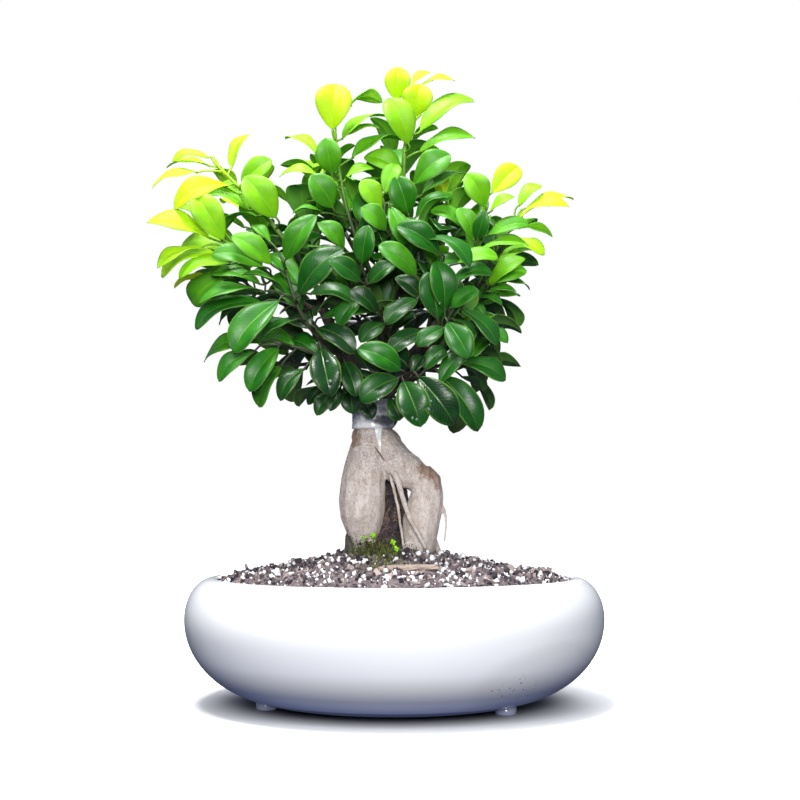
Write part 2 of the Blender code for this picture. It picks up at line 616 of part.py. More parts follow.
def grow_crown():
    crown = Crown()
    stems = {}
    for name, points, *_ in FRONT_SHOOTS + ROUND_SHOOTS:
        stems[name] = [Vector(p) for p in points]
        crown.add_stem(name, stem_mesh(points))
        path, direction = twig_path(points)
        radii = [TWIG_RADIUS + LEAF_CLEARANCE] * len(path)
        crown.add_stem(name + " twig", tube(path, radii, TWIG_SIDES, direction))
    for i, limb in enumerate(LIMBS + (STUMP,)):
        crown.add_stem("limb %d" % i, root_tube(limb, LIMB_SIDES, 0.5))
    shoots = {name: [] for name in stems}
    for name, _, front in FRONT_SHOOTS:
        for foot, tip, width, turn in front:
            shoots[name].append(crown.place(name, front_leaf(stems[name], foot, tip, width, turn)))
    draw = random.Random(SEED)
    for name, _, count, length in ROUND_SHOOTS:
        start = draw.uniform(0.0, math.tau)
        for i in range(count):
            part = FIRST_LEAF + (1.0 - FIRST_LEAF) * (i + 0.5) / count
            size = length * draw.uniform(*SIZE_SPREAD) * (1.0 - TIP_SHRINK * part * part)
            leaf = grown_leaf(stems[name], part, start + GOLDEN_ANGLE * i, size)
            shoots[name].append(crown.place(name, leaf))
    for name, _, front in FRONT_SHOOTS:
        for i in range(REAR_LEAVES):
            part = REAR_FIRST + REAR_STEP * i + draw.uniform(-REAR_SCATTER, REAR_SCATTER)
            leaf = grown_leaf(stems[name], part, draw.uniform(*REAR_TURN), REAR_LENGTH)
            shoots[name].append(crown.place(name, leaf))
    return {name: [leaf for leaf in leaves if leaf] for name, leaves in shoots.items()}


# Blender objects

def material(name, colour, roughness, metallic=0.0):
    made = bpy.data.materials.new(name)
    made.use_nodes = True
    shader = made.node_tree.nodes["Principled BSDF"]
    shader.inputs["Base Color"].default_value = (*colour, 1.0)
    shader.inputs["Roughness"].default_value = roughness
    shader.inputs["Metallic"].default_value = metallic
    return made


def mesh_object(name, verts, faces, collection=None):
    bm = bmesh.new()
    made = [bm.verts.new(((v[0] + AXIS_X) * MM, v[1] * MM, v[2] * MM)) for v in verts]
    for face in faces:
        bm.faces.new([made[i] for i in face])
    bmesh.ops.recalc_face_normals(bm, faces=bm.faces)
    mesh = bpy.data.meshes.new(name)
    bm.to_mesh(mesh)
    bm.free()
    thing = bpy.data.objects.new(name, mesh)
    (collection or bpy.context.scene.collection).objects.link(thing)
    return thing


def is_closed(mesh):
    bm = bmesh.new()
    bm.from_mesh(mesh)
    closed = all(edge.is_manifold for edge in bm.edges)
    bm.free()
    return closed


def boolean(thing, parts, operation):
    # Fuses parts onto a thing, or cuts them from it, and removes them.
    group = bpy.data.collections.new("parts of " + thing.name)
    bpy.context.scene.collection.children.link(group)
    for part in parts:
        bpy.context.scene.collection.objects.unlink(part)
        group.objects.link(part)
    step = thing.modifiers.new("join", "BOOLEAN")
    step.operation = operation
    step.operand_type = "COLLECTION"
    step.collection = group
    for solver in ("EXACT", "MANIFOLD"):
        step.solver = solver
        view = bpy.context.evaluated_depsgraph_get()
        joined = bpy.data.meshes.new_from_object(thing.evaluated_get(view))
        if is_closed(joined):
            break
        print("not closed by", solver, thing.name)
    thing.modifiers.clear()
    plain = thing.data
    thing.data = joined
    bpy.data.meshes.remove(plain)
    for part in parts:
        bpy.data.objects.remove(part, do_unlink=True)
    bpy.data.collections.remove(group)
    tidy_mesh(thing)


def tidy_mesh(thing):
    # Three-sided faces, and only the largest body.
    bm = bmesh.new()
    bm.from_mesh(thing.data)
    bmesh.ops.triangulate(bm, faces=bm.faces)
    todo = set(bm.faces)
    bodies = []
    while todo:
        body, edge_of_body = set(), [todo.pop()]
        while edge_of_body:
            face = edge_of_body.pop()
            body.add(face)
            for near in {f for e in face.edges for f in e.link_faces} & todo:
                todo.discard(near)
                edge_of_body.append(near)
        bodies.append(body)
    bodies.sort(key=len)
    scraps = [face for body in bodies[:-1] for face in body]
    bmesh.ops.delete(bm, geom=scraps, context="FACES")
    bm.to_mesh(thing.data)
    bm.free()


def finish(thing, surface, smooth_angle=None):
    thing.data.materials.clear()
    thing.data.materials.append(surface)
    if smooth_angle:
        thing.data.shade_smooth()
        thing.data.set_sharp_from_angle(angle=math.radians(smooth_angle))


# Bowl, net and soil

def quarter(centre, width, height, start, end, steps):
    # Points of an ellipse from one angle to another, from its centre (radius, height).
    places = []
    for i in range(steps + 1):
        angle = math.radians(start + (end - start) * i / steps)
        places.append((centre[0] + width * math.cos(angle), centre[1] + height * math.sin(angle)))
    return places


def spun(name, profile, sides, closed):
    # A turned solid from (radius, height) points; a closed profile stays clear of the axis.
    verts, faces = [], []
    count = len(profile)
    for k in range(sides):
        angle = math.tau * k / sides
        for radius, height in profile:
            verts.append((radius * math.cos(angle), radius * math.sin(angle), height))
    for k in range(sides):
        near, far = k * count, (k + 1) % sides * count
        for i in range(count if closed else count - 1):
            j = (i + 1) % count
            faces.append((near + i, far + i, far + j, near + j))
    if not closed:
        faces.append([k * count for k in range(sides)])
        faces.append([k * count + count - 1 for k in range(sides)])
    return mesh_object(name, verts, faces)


def cylinder(name, x, y, low, high, radius, sides):
    return mesh_object(name, *tube(((x, y, low), (x, y, high)), (radius, radius), sides))


def bowl_face(inset, low_steps, high_steps):
    # Half section of one face of the wall, from the floor's edge up to the rim.
    lower = quarter((FLOOR_RADIUS, WIDEST_HEIGHT), BOWL_RADIUS - FLOOR_RADIUS - inset,
                    WIDEST_HEIGHT - UNDERSIDE_HEIGHT - inset, -90.0, 0.0, low_steps)
    upper = quarter((RIM_CENTRE_RADIUS, WIDEST_HEIGHT), BOWL_RADIUS - RIM_CENTRE_RADIUS - inset,
                    RIM_HEIGHT - WIDEST_HEIGHT - inset, 0.0, 90.0, high_steps)
    return lower + upper[1:]


def make_bowl():
    outside = bowl_face(0.0, 5, 3)
    inside = bowl_face(WALL, 3, 2)
    lip = quarter((RIM_CENTRE_RADIUS, RIM_HEIGHT - WALL / 2), WALL / 2, WALL / 2, 135.0, 225.0, 2)
    profile = [(DRAIN_RADIUS, UNDERSIDE_HEIGHT)] + outside + lip + inside[::-1]
    profile.append((DRAIN_RADIUS, UNDERSIDE_HEIGHT + WALL))
    bowl = spun("bowl", profile, BOWL_SIDES, closed=True)
    feet = []
    for angle in FOOT_ANGLES:
        x, y = FOOT_CIRCLE * math.cos(math.radians(angle)), FOOT_CIRCLE * math.sin(math.radians(angle))
        places = ((x, y, 0), (x, y, FOOT_CHAMFER), (x, y, FOOT_TOP))
        radii = (FOOT_RADIUS - FOOT_CHAMFER, FOOT_RADIUS, FOOT_RADIUS)
        feet.append(mesh_object("foot", *tube(places, radii, FOOT_SIDES)))
    boolean(bowl, feet, "UNION")
    finish(bowl, material("white_glaze", (0.86, 0.87, 0.90), 0.16), 35.0)


def make_net():
    base = UNDERSIDE_HEIGHT + WALL + JOINT_GAP
    net = cylinder("drain_net", 0, 0, base, base + NET_THICKNESS, NET_RADIUS, NET_SIDES)
    holes = []
    for i in (-1, 0, 1):
        for j in (-1, 0, 1):
            x, y, h = i * NET_PITCH, j * NET_PITCH, NET_HOLE / 2
            corners = [(x - h, y - h), (x + h, y - h), (x + h, y + h), (x - h, y + h)]
            verts = [(*c, base - 1.0) for c in corners]
            verts += [(*c, base + NET_THICKNESS + 1.0) for c in corners]
            faces = [(0, 1, 2, 3), (4, 5, 6, 7)]
            faces += [(k, (k + 1) % 4, 4 + (k + 1) % 4, 4 + k) for k in range(4)]
            holes.append(mesh_object("hole", verts, faces))
    boolean(net, holes, "DIFFERENCE")
    finish(net, material("black_net", (0.03, 0.03, 0.03), 0.6))


def make_soil(caudex_cutters, chip_cutter):
    wall = [p for p in bowl_face(WALL + JOINT_GAP, 3, 2) if p[1] < SOIL_MOUND[0][1] - 1.0]
    floor = UNDERSIDE_HEIGHT + WALL + JOINT_GAP
    pocket = floor + JOINT_GAP + NET_THICKNESS
    profile = [(NET_RADIUS + 1.0, pocket), (NET_RADIUS + 1.0, floor)] + wall + list(SOIL_MOUND)
    soil = spun("soil", profile, BOWL_SIDES, closed=False)
    for v in soil.data.vertices:
        radius = math.hypot(v.co.x - AXIS_X * MM, v.co.y) / MM
        if v.co.z > RELIEF_HEIGHT * MM and radius < RELIEF_RADIUS:
            v.co.z += SOIL_RELIEF * MM * noise.noise(v.co * RELIEF_SCALE)
    hump = mesh_object("hump", *root_tube(PEAT_HUMP, HUMP_SIDES))
    boolean(soil, [hump], "UNION")
    boolean(soil, caudex_cutters + [chip_cutter], "DIFFERENCE")
    finish(soil, material("dark_soil", (0.055, 0.040, 0.030), 0.95), 40.0)


def make_chip(name, grow):
    # A thin strip of bark, a little wider than its upper face at the foot.
    length, depth, height = (size / 2 + grow for size in CHIP_SIZE)
    outline = ((-1.0, -0.55), (-0.72, -1.0), (0.35, -0.9), (0.94, -0.62), (1.0, 0.2), (0.55, 0.94),
               (-0.4, 1.0), (-0.95, 0.5))
    turn = Euler(CHIP_TILT).to_matrix()
    verts = []
    for level, size in ((-height, 1.0), (height, 0.9)):
        for x, y in outline:
            verts.append(turn @ Vector((x * length * size, y * depth * size, level)) + Vector(CHIP_PLACE))
    count = len(outline)
    faces = [tuple(range(count)), tuple(range(count, 2 * count))]
    faces += [(k, (k + 1) % count, count + (k + 1) % count, count + k) for k in range(count)]
    return mesh_object(name, verts, faces)


# Roots, tape and branches

def root_parts(grow):
    roots = [mesh_object("root", *root_tube(path, ROOT_SIDES, grow)) for path in SWOLLEN_ROOTS]
    roots += [mesh_object("rootlet", *root_tube(path, ROOTLET_SIDES, grow)) for path in ROOTLETS]
    return roots


def make_caudex():
    first, *others = root_parts(0.0)
    first.name = "caudex"
    boolean(first, others, "UNION")
    finish(first, material("fig_bark", (0.58, 0.49, 0.41), 0.75), 50.0)


def make_tape():
    inner = NECK_RADIUS + JOINT_GAP + TAPE_EASE
    profile = [(inner, TAPE_LOW), (TAPE_RADIUS - 0.6, TAPE_LOW), (TAPE_RADIUS, TAPE_LOW + 2),
               (TAPE_RADIUS + 0.3, (TAPE_LOW + TAPE_HIGH) / 2), (TAPE_RADIUS - 0.4, TAPE_HIGH - 2),
               (TAPE_RADIUS - 1.0, TAPE_HIGH), (inner, TAPE_HIGH)]
    tape = spun("graft_tape", profile, TAPE_SIDES, closed=True)
    for v in tape.data.vertices:
        v.co.x += NECK_X * MM
    finish(tape, material("silver_tape", (0.62, 0.63, 0.64), 0.35), 40.0)


def make_branches():
    stump = mesh_object("branches", *root_tube(STUMP, STUMP_SIDES))
    parts = [mesh_object("limb", *root_tube(limb, LIMB_SIDES)) for limb in LIMBS]
    for _, points, *_ in FRONT_SHOOTS + ROUND_SHOOTS:
        path, direction = twig_path(points)
        parts.append(mesh_object("twig", *tube(path, [TWIG_RADIUS] * len(path), TWIG_SIDES, direction)))
    boolean(stump, parts, "UNION")
    finish(stump, material("grey_brown_bark", (0.33, 0.26, 0.19), 0.8), 50.0)


def make_shoot(name, points, leaves, surface):
    shoot = mesh_object("shoot_" + name, *stem_mesh(points))
    parts = []
    for leaf in leaves:
        verts, blade, stalk = leaf_solid(leaf)
        parts.append(mesh_object("leaf", verts, blade + stalk))
    boolean(shoot, parts, "UNION")
    finish(shoot, surface)


def leaf_colour(points):
    # Young shoots high up and outside are lime; low and inner ones are dark green.
    tip = points[-1]
    youth = max(0.0, min(1.0, (tip[2] - 300.0) / 180.0 + abs(tip[0] + 25.0) / 400.0))
    return (0.02 + 0.36 * youth ** 1.6, 0.10 + 0.42 * youth, 0.015 + 0.01 * youth)


def main():
    make_bowl()
    make_net()
    make_soil(root_parts(JOINT_GAP + 0.1), make_chip("chip cutter", JOINT_GAP))
    finish(make_chip("bark_chip", 0.0), material("brown_chip", (0.22, 0.13, 0.08), 0.85))
    make_caudex()
    make_tape()
    make_branches()
    crown = grow_crown()
    print(sum(len(leaves) for leaves in crown.values()), "leaves")
    for name, points, *_ in FRONT_SHOOTS + ROUND_SHOOTS:
        make_shoot(name, points, crown[name], material("leaf_" + name, leaf_colour(points), 0.35))


main()
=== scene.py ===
import math
import random
from collections import namedtuple

import bmesh
import bpy
import numpy as np
from mathutils import Euler, Matrix, Vector, noise
from mathutils.bvhtree import BVHTree
from mathutils.kdtree import KDTree


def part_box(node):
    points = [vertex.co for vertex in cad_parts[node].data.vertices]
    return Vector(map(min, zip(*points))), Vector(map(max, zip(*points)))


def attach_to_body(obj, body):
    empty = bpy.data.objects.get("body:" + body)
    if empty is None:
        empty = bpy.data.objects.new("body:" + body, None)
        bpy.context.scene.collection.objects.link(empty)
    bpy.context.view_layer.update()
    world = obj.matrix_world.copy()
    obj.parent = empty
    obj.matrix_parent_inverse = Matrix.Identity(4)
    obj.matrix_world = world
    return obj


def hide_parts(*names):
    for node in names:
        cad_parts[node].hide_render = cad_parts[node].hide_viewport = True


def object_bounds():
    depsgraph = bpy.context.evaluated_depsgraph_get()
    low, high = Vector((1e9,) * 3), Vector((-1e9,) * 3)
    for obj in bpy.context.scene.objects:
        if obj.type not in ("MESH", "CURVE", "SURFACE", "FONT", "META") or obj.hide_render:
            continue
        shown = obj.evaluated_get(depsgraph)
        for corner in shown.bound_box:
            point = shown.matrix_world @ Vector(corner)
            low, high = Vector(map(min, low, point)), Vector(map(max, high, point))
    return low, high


# Looks of the ginseng ficus: fine leaves, bark, tape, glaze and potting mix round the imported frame.
# Shapes are worked out in millimetres from the bowl's axis and the floor, with the front at -Y.

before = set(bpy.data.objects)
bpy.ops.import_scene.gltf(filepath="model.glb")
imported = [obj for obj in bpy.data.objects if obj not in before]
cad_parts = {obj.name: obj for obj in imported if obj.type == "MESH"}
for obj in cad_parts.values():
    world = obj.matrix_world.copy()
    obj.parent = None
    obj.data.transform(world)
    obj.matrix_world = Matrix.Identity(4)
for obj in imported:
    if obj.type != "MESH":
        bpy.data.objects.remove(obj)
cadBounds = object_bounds()
mm = 0.001
bowlLow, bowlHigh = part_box("bowl")
bowlAxis = (bowlLow[0] + bowlHigh[0]) / 2
toFrame = Matrix.Translation((bowlAxis, 0, 0)) @ Matrix.Scale(mm, 4)
toMillimetres = toFrame.inverted()
cornerLow, cornerHigh = (np.array(toMillimetres @ Vector(corner)) for corner in cadBounds)
draw = random.Random(5071)
up = Vector((0, 0, 1))
front = Vector((0, -1, 0))


def newObject(name, data):
    made = bpy.data.objects.new(name, data)
    bpy.context.scene.collection.objects.link(made)
    return made


def newMesh(name, bm):
    # Closes a finished bmesh into a mesh.
    mesh = bpy.data.meshes.new(name)
    bm.to_mesh(mesh)
    bm.free()
    return mesh


# Camera, light and floor

cameraSettings = {
    "distance": 1.10,          # from the bowl's axis
    "height": 0.161,
    "lens": 60.7,
    "frameSize": 800,          # pixels each way
    "pixelSize": 0.8155,       # millimetres at the bowl's axis
    "axisColumn": 394.5,       # pixel column of the bowl's axis
    "levelRow": 501.0,         # pixel row level with the camera
    "sensor": 36.0,
}
lightSettings = {
    "fill": 0.31,                       # strength of the light from all round
    "fillColour": (0.70, 0.79, 0.98),   # its colour from above
    "levelColour": (0.17, 0.18, 0.23),  # midway between the two heights of the horizon
    "lowColour": (0.11, 0.19, 0.56),    # from below
    "horizon": (-0.75, 0.30),
    "lamps": (                          # name, place, size and watts
        ("front light", (0.05, -2.3, 0.63), 0.9, 57.0),
        ("back light", (0.30, 1.9, 1.0), 1.2, 14.0),
        ("top light", (-0.30, -0.42, 2.05), 0.6, 56.0),
    ),
    "aim": (0.013, 0.0, 0.22),          # where every lamp points
    "floorColour": (0.93, 0.93, 0.93),
    "floorFade": (0.112, 0.235),        # metres from the axis over which the floor's glow rises out of the painted shadow to plain white
    "floorShade": (0.084, 0.165),       # metres over which its colour comes out of the painted shadow underneath
    "shadeStretch": (0.93, 1.12, 1.0),
    "domeRadius": 40.0,
}


def makeCamera():
    s = cameraSettings
    middle = s["frameSize"] / 2
    rise = math.atan((s["levelRow"] - middle) * s["pixelSize"] * mm / s["distance"])
    turn = math.atan((middle - s["axisColumn"]) * s["pixelSize"] * mm / s["distance"])
    lens = bpy.data.cameras.new("camera")
    lens.lens = s["lens"]
    lens.sensor_width = s["sensor"]
    camera = newObject("camera", lens)
    camera.location = (bowlAxis, -s["distance"], s["height"])
    camera.rotation_euler = (math.pi / 2 + rise, 0, -turn)
    bpy.context.scene.camera = camera


def pixelRay(column, row):
    # Where a pixel of the photograph looks from and to, in millimetres from the bowl's axis.
    s = cameraSettings
    start = Vector((0, -s["distance"] / mm, s["height"] / mm))
    x = (column - s["axisColumn"]) * s["pixelSize"]
    z = s["height"] / mm + (s["levelRow"] - row) * s["pixelSize"]
    return start, (Vector((x, 0, z)) - start).normalized()


def makeLight(name, place, size, watts):
    lamp = bpy.data.lights.new(name, "AREA")
    lamp.shape = "DISK"
    lamp.size = size
    lamp.energy = watts
    holder = newObject(name, lamp)
    holder.location = place
    aim = Vector(lightSettings["aim"]) - Vector(place)
    holder.rotation_euler = aim.to_track_quat("-Z", "Y").to_euler()


def makeStage(name, bm, paint):
    # A piece of the studio that only the camera sees, so that it throws no light on the plant.
    mesh = newMesh(name, bm)
    mesh.materials.append(paint)
    piece = newObject(name, mesh)
    piece.visible_diffuse = False
    piece.visible_glossy = False
    return piece


def makeWorld():
    s = lightSettings
    world = bpy.data.worlds.new("studio")
    world.use_nodes = True
    tree = world.node_tree
    sky = tree.nodes["Background"]
    look = put(tree, "ShaderNodeTexCoord").outputs["Generated"]
    high = put(tree, "ShaderNodeSeparateXYZ", {0: look}).outputs["Z"]
    share = smoothStep(tree, high, *s["horizon"])
    tone = ramp(tree, share, (0.0, s["lowColour"]), (0.5, s["levelColour"]), (1.0, s["fillColour"]))
    tree.links.new(tone, sky.inputs["Color"])
    sky.inputs["Strength"].default_value = s["fill"]
    bpy.context.scene.world = world
    bpy.context.scene.view_settings.view_transform = "Standard"


def makeFloor():
    # White all round, with a painted shadow under the bowl: there its colour goes to black and its glow
    # falls away.
    s = lightSettings
    bm = bmesh.new()
    bmesh.ops.create_grid(bm, x_segments=1, y_segments=1, size=s["domeRadius"])
    paint, tree, shader = newMaterial("pale floor")
    shader.inputs["Roughness"].default_value = 0.8
    shader.inputs["Specular IOR Level"].default_value = 0.0
    shift = (-bowlAxis * s["shadeStretch"][0], 0, 0)
    spot = put(tree, "ShaderNodeMapping", {"Vector": objectPlace(tree), "Scale": s["shadeStretch"],
                                           "Location": shift})
    reach = put(tree, "ShaderNodeVectorMath", {0: spot.outputs[0]}, operation="LENGTH").outputs["Value"]
    shade = smoothStep(tree, reach, *s["floorShade"])
    tone = ramp(tree, shade, (0.0, (0, 0, 0)), (1.0, s["floorColour"]))
    tree.links.new(tone, shader.inputs["Base Color"])
    white = smoothStep(tree, reach, *s["floorFade"])
    glow = ramp(tree, white, (0.0, (0, 0, 0)), (1.0, (1, 1, 1)))
    tree.links.new(glow, shader.inputs["Emission Color"])
    shader.inputs["Emission Strength"].default_value = 1.0
    makeStage("floor", bm, paint)


def makeBackdrop():
    bm = bmesh.new()
    bmesh.ops.create_uvsphere(bm, u_segments=24, v_segments=16, radius=lightSettings["domeRadius"])
    paint, tree, shader = newMaterial("white backdrop")
    shader.inputs["Base Color"].default_value = (0, 0, 0, 1)
    shader.inputs["Specular IOR Level"].default_value = 0.0
    shader.inputs["Emission Color"].default_value = (1, 1, 1, 1)
    shader.inputs["Emission Strength"].default_value = 1.0
    dome = makeStage("backdrop", bm, paint)
    dome.visible_shadow = False


def makeStudio():
    makeWorld()
    for lamp in lightSettings["lamps"]:
        makeLight(*lamp)
    makeFloor()
    makeBackdrop()


# Material tools

def newMaterial(name):
    made = bpy.data.materials.new(name)
    made.use_nodes = True
    return made, made.node_tree, made.node_tree.nodes["Principled BSDF"]


def put(tree, kind, sockets=None, **settings):
    # A node with its settings, and its inputs set to a value or linked to a socket.
    node = tree.nodes.new(kind)
    for key, value in settings.items():
        setattr(node, key, value)
    for key, value in (sockets or {}).items():
        if isinstance(value, bpy.types.NodeSocket):
            tree.links.new(value, node.inputs[key])
        else:
            node.inputs[key].default_value = value
    return node


def calc(tree, operation, first, second=0.0, third=0.0):
    return put(tree, "ShaderNodeMath", {0: first, 1: second, 2: third}, operation=operation).outputs[0]


def mixed(tree, amount, first, second, blend="MIX"):
    node = put(tree, "ShaderNodeMix", data_type="RGBA", blend_type=blend)
    for index, value in ((0, amount), (6, first), (7, second)):
        if isinstance(value, bpy.types.NodeSocket):
            tree.links.new(value, node.inputs[index])
        elif index == 0:
            node.inputs[index].default_value = value
        else:
            node.inputs[index].default_value = (*value, 1)
    return node.outputs[2]


def ramp(tree, value, *stops):
    node = put(tree, "ShaderNodeValToRGB", {"Fac": value})
    elements = node.color_ramp.elements
    while len(elements) < len(stops):
        elements.new(0.5)
    for element, (position, colour) in zip(elements, stops):
        element.position = position
        element.color = (*colour, 1)
    return node.outputs["Color"]


def over(tree, skin, mask, share, colour):
    # A colour laid on the skin where the mask is 1, as strong as the share.
    return mixed(tree, calc(tree, "MULTIPLY", mask, share), skin, colour)


def scaled(tree, value, factor, base):
    return calc(tree, "ADD", calc(tree, "MULTIPLY", value, factor), base)


def smoothStep(tree, value, low, high):
    node = put(tree, "ShaderNodeMapRange", {"Value": value, "From Min": low, "From Max": high},
               interpolation_type="SMOOTHSTEP")
    return node.outputs["Result"]


def objectPlace(tree):
    return put(tree, "ShaderNodeTexCoord").outputs["Object"]


def carried(tree, name):
    # A value that the mesh's own points carry.
    return put(tree, "ShaderNodeAttribute", attribute_name=name).outputs["Fac"]


def speckle(tree, place, scale, detail=4.0, roughness=0.6, stretch=(1, 1, 1)):
    spot = put(tree, "ShaderNodeMapping", {"Vector": place, "Scale": stretch}).outputs[0]
    return put(tree, "ShaderNodeTexNoise", {"Vector": spot, "Scale": scale, "Detail": detail,
                                            "Roughness": roughness}).outputs["Fac"]


def bumped(tree, shader, height, strength, distance):
    node = put(tree, "ShaderNodeBump", {"Height": height, "Strength": strength, "Distance": distance})
    tree.links.new(node.outputs["Normal"], shader.inputs["Normal"])


def finished(tree, shader, skin, roughness, height, strength, distance):
    # Gives a shader its colour, its roughness as a value or a socket, and its relief.
    tree.links.new(skin, shader.inputs["Base Color"])
    if isinstance(roughness, bpy.types.NodeSocket):
        tree.links.new(roughness, shader.inputs["Roughness"])
    else:
        shader.inputs["Roughness"].default_value = roughness
    bumped(tree, shader, height, strength, distance)


def newGroup(name, inputs, outputs):
    tree = bpy.data.node_groups.new(name, "ShaderNodeTree")
    for label, kind in inputs:
        tree.interface.new_socket(label, in_out="INPUT", socket_type=kind)
    for label, kind in outputs:
        tree.interface.new_socket(label, in_out="OUTPUT", socket_type=kind)
    return tree, tree.nodes.new("NodeGroupInput").outputs, tree.nodes.new("NodeGroupOutput").inputs


def makePatchGroup():
    # A ragged spot: 1 inside an ellipsoid about a centre, fading to 0 outside it.
    tree, given, out = newGroup("patch", (("Place", "NodeSocketVector"), ("Centre", "NodeSocketVector"),
                                          ("Size", "NodeSocketVector"), ("Ragged", "NodeSocketFloat")),
                                (("Mask", "NodeSocketFloat"),))
    off = put(tree, "ShaderNodeVectorMath", {0: given["Place"], 1: given["Centre"]}, operation="SUBTRACT")
    part = put(tree, "ShaderNodeVectorMath", {0: off.outputs[0], 1: given["Size"]}, operation="DIVIDE")
    reach = put(tree, "ShaderNodeVectorMath", {0: part.outputs[0]}, operation="LENGTH").outputs["Value"]
    rough = calc(tree, "SUBTRACT", speckle(tree, given["Place"], 300.0, 8.0, 0.75), 0.5)
    reach = calc(tree, "ADD", reach, calc(tree, "MULTIPLY", rough, given["Ragged"]))
    tree.links.new(smoothStep(tree, reach, 1.2, 0.76), out["Mask"])
    return tree


def makeGrainGroup():
    # Uneven tone and fine relief, stretched along the grain.
    tree, given, out = newGroup("grain", (("Place", "NodeSocketVector"), ("Stretch", "NodeSocketVector"),
                                          ("Scale", "NodeSocketFloat")),
                                (("Tone", "NodeSocketFloat"), ("Height", "NodeSocketFloat")))
    spot = put(tree, "ShaderNodeMapping", {"Vector": given["Place"], "Scale": given["Stretch"]}).outputs[0]
    coarse = put(tree, "ShaderNodeTexNoise", {"Vector": spot, "Scale": given["Scale"], "Detail": 3.0})
    fineScale = calc(tree, "MULTIPLY", given["Scale"], 5.0)
    fine = put(tree, "ShaderNodeTexNoise", {"Vector": spot, "Scale": fineScale, "Detail": 6.0,
                                            "Roughness": 0.7})
    share = calc(tree, "MULTIPLY", coarse.outputs["Fac"], 0.5)
    tone = calc(tree, "MULTIPLY_ADD", fine.outputs["Fac"], 0.5, share)
    tree.links.new(tone, out["Tone"])
    tree.links.new(fine.outputs["Fac"], out["Height"])
    return tree


patchGroup = makePatchGroup()
grainGroup = makeGrainGroup()


def patch(tree, place, centre, size, ragged=0.5):
    # A patch about a point given in millimetres from the bowl's axis.
    node = put(tree, "ShaderNodeGroup", node_tree=patchGroup)
    tree.links.new(place, node.inputs["Place"])
    node.inputs["Centre"].default_value = toFrame @ Vector(centre)
    node.inputs["Size"].default_value = Vector(size) * mm
    node.inputs["Ragged"].default_value = ragged
    return node.outputs["Mask"]


def grain(tree, place, stretch, scale):
    node = put(tree, "ShaderNodeGroup", node_tree=grainGroup)
    tree.links.new(place, node.inputs["Place"])
    node.inputs["Stretch"].default_value = stretch
    node.inputs["Scale"].default_value = scale
    return node.outputs["Tone"], node.outputs["Height"]


# Mesh tools

def dress(name, bm, materials, replaced=(), smooth=True):
    # Turns a finished bmesh in millimetres into a piece of the part.
    bmesh.ops.transform(bm, matrix=toFrame, verts=bm.verts)
    mesh = newMesh(name, bm)
    if smooth:
        mesh.shade_smooth()
    for paint in materials:
        mesh.materials.append(paint)
    piece = newObject(name, mesh)
    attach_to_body(piece, "root")
    if replaced:
        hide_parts(*replaced)


def remeshedCopy(node, voxel, rounds):
    # A smooth, evenly divided copy of a node's solid, in millimetres from the bowl's axis.
    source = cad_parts[node]
    bm = bmesh.new()
    bm.from_mesh(source.data)
    bmesh.ops.remove_doubles(bm, verts=bm.verts, dist=1e-6)
    mesh = newMesh("work", bm)
    work = newObject("work", mesh)
    step = work.modifiers.new("even", "REMESH")
    step.mode = "VOXEL"
    step.voxel_size = voxel * mm
    view = bpy.context.evaluated_depsgraph_get()
    even = work.evaluated_get(view).to_mesh()
    bm = bmesh.new()
    bm.from_mesh(even)
    bpy.data.objects.remove(work)
    bpy.data.meshes.remove(mesh)
    for _ in range(rounds):
        bmesh.ops.smooth_vert(bm, verts=bm.verts, factor=0.5, use_axis_x=True, use_axis_y=True,
                              use_axis_z=True)
    bmesh.ops.transform(bm, matrix=toMillimetres, verts=bm.verts)
    bm.normal_update()
    return bm


def ripple(place, size, octaves=3):
    # Signed noise whose lumps are about as large as size, in millimetres.
    return noise.fractal(place / size, 0.6, 2.1, octaves)


def swell(bm, height):
    # Moves each point along its normal by what height(place, normal) gives.
    moves = [(v, v.normal * height(v.co, v.normal)) for v in bm.verts]
    for v, move in moves:
        v.co += move


def ringAt(place, direction, side, radius):
    other = direction.cross(side)
    turn = Matrix((side, other, direction)).transposed().to_4x4()
    return Matrix.Translation(place) @ turn @ Matrix.Scale(radius, 4)


def growTube(bm, places, radii, sides):
    # A round tube through the places, extruded ring by ring and closed at both ends.
    places = [Vector(p) for p in places]
    side, last, edges, born = None, None, None, []
    for i, (place, radius) in enumerate(zip(places, radii)):
        direction = (places[min(i + 1, len(places) - 1)] - places[max(i - 1, 0)]).normalized()
        side = across(side or Vector((1.0, 0.3, 0.1)), direction)
        here = ringAt(place, direction, side, max(radius, 0.02))
        if i == 0:
            ring = bmesh.ops.create_circle(bm, cap_ends=True, radius=1.0, segments=sides, matrix=here)
            born += ring["verts"]
            edges = list({e for v in ring["verts"] for e in v.link_edges})
        else:
            grown = bmesh.ops.extrude_edge_only(bm, edges=edges)["geom"]
            verts = [g for g in grown if isinstance(g, bmesh.types.BMVert)]
            bmesh.ops.transform(bm, matrix=here @ last.inverted(), verts=verts)
            born += verts
            edges = [g for g in grown if isinstance(g, bmesh.types.BMEdge) and len(g.link_faces) == 1]
        last = here
    bmesh.ops.contextual_create(bm, geom=edges)
    return born


def smoothPath(points, steps):
    # A Catmull-Rom curve through the points.
    points = [Vector(p) for p in points]
    ends = [points[0] * 2 - points[1]] + points + [points[-1] * 2 - points[-2]]
    places = []
    for a, b, c, d in zip(ends, ends[1:], ends[2:], ends[3:]):
        for i in range(steps):
            t = i / steps
            places.append((b * 2 + (c - a) * t + (a * 2 - b * 5 + c * 4 - d) * t * t
                           + (b * 3 - a - c * 3 + d) * t ** 3) / 2)
    return places + [points[-1]]


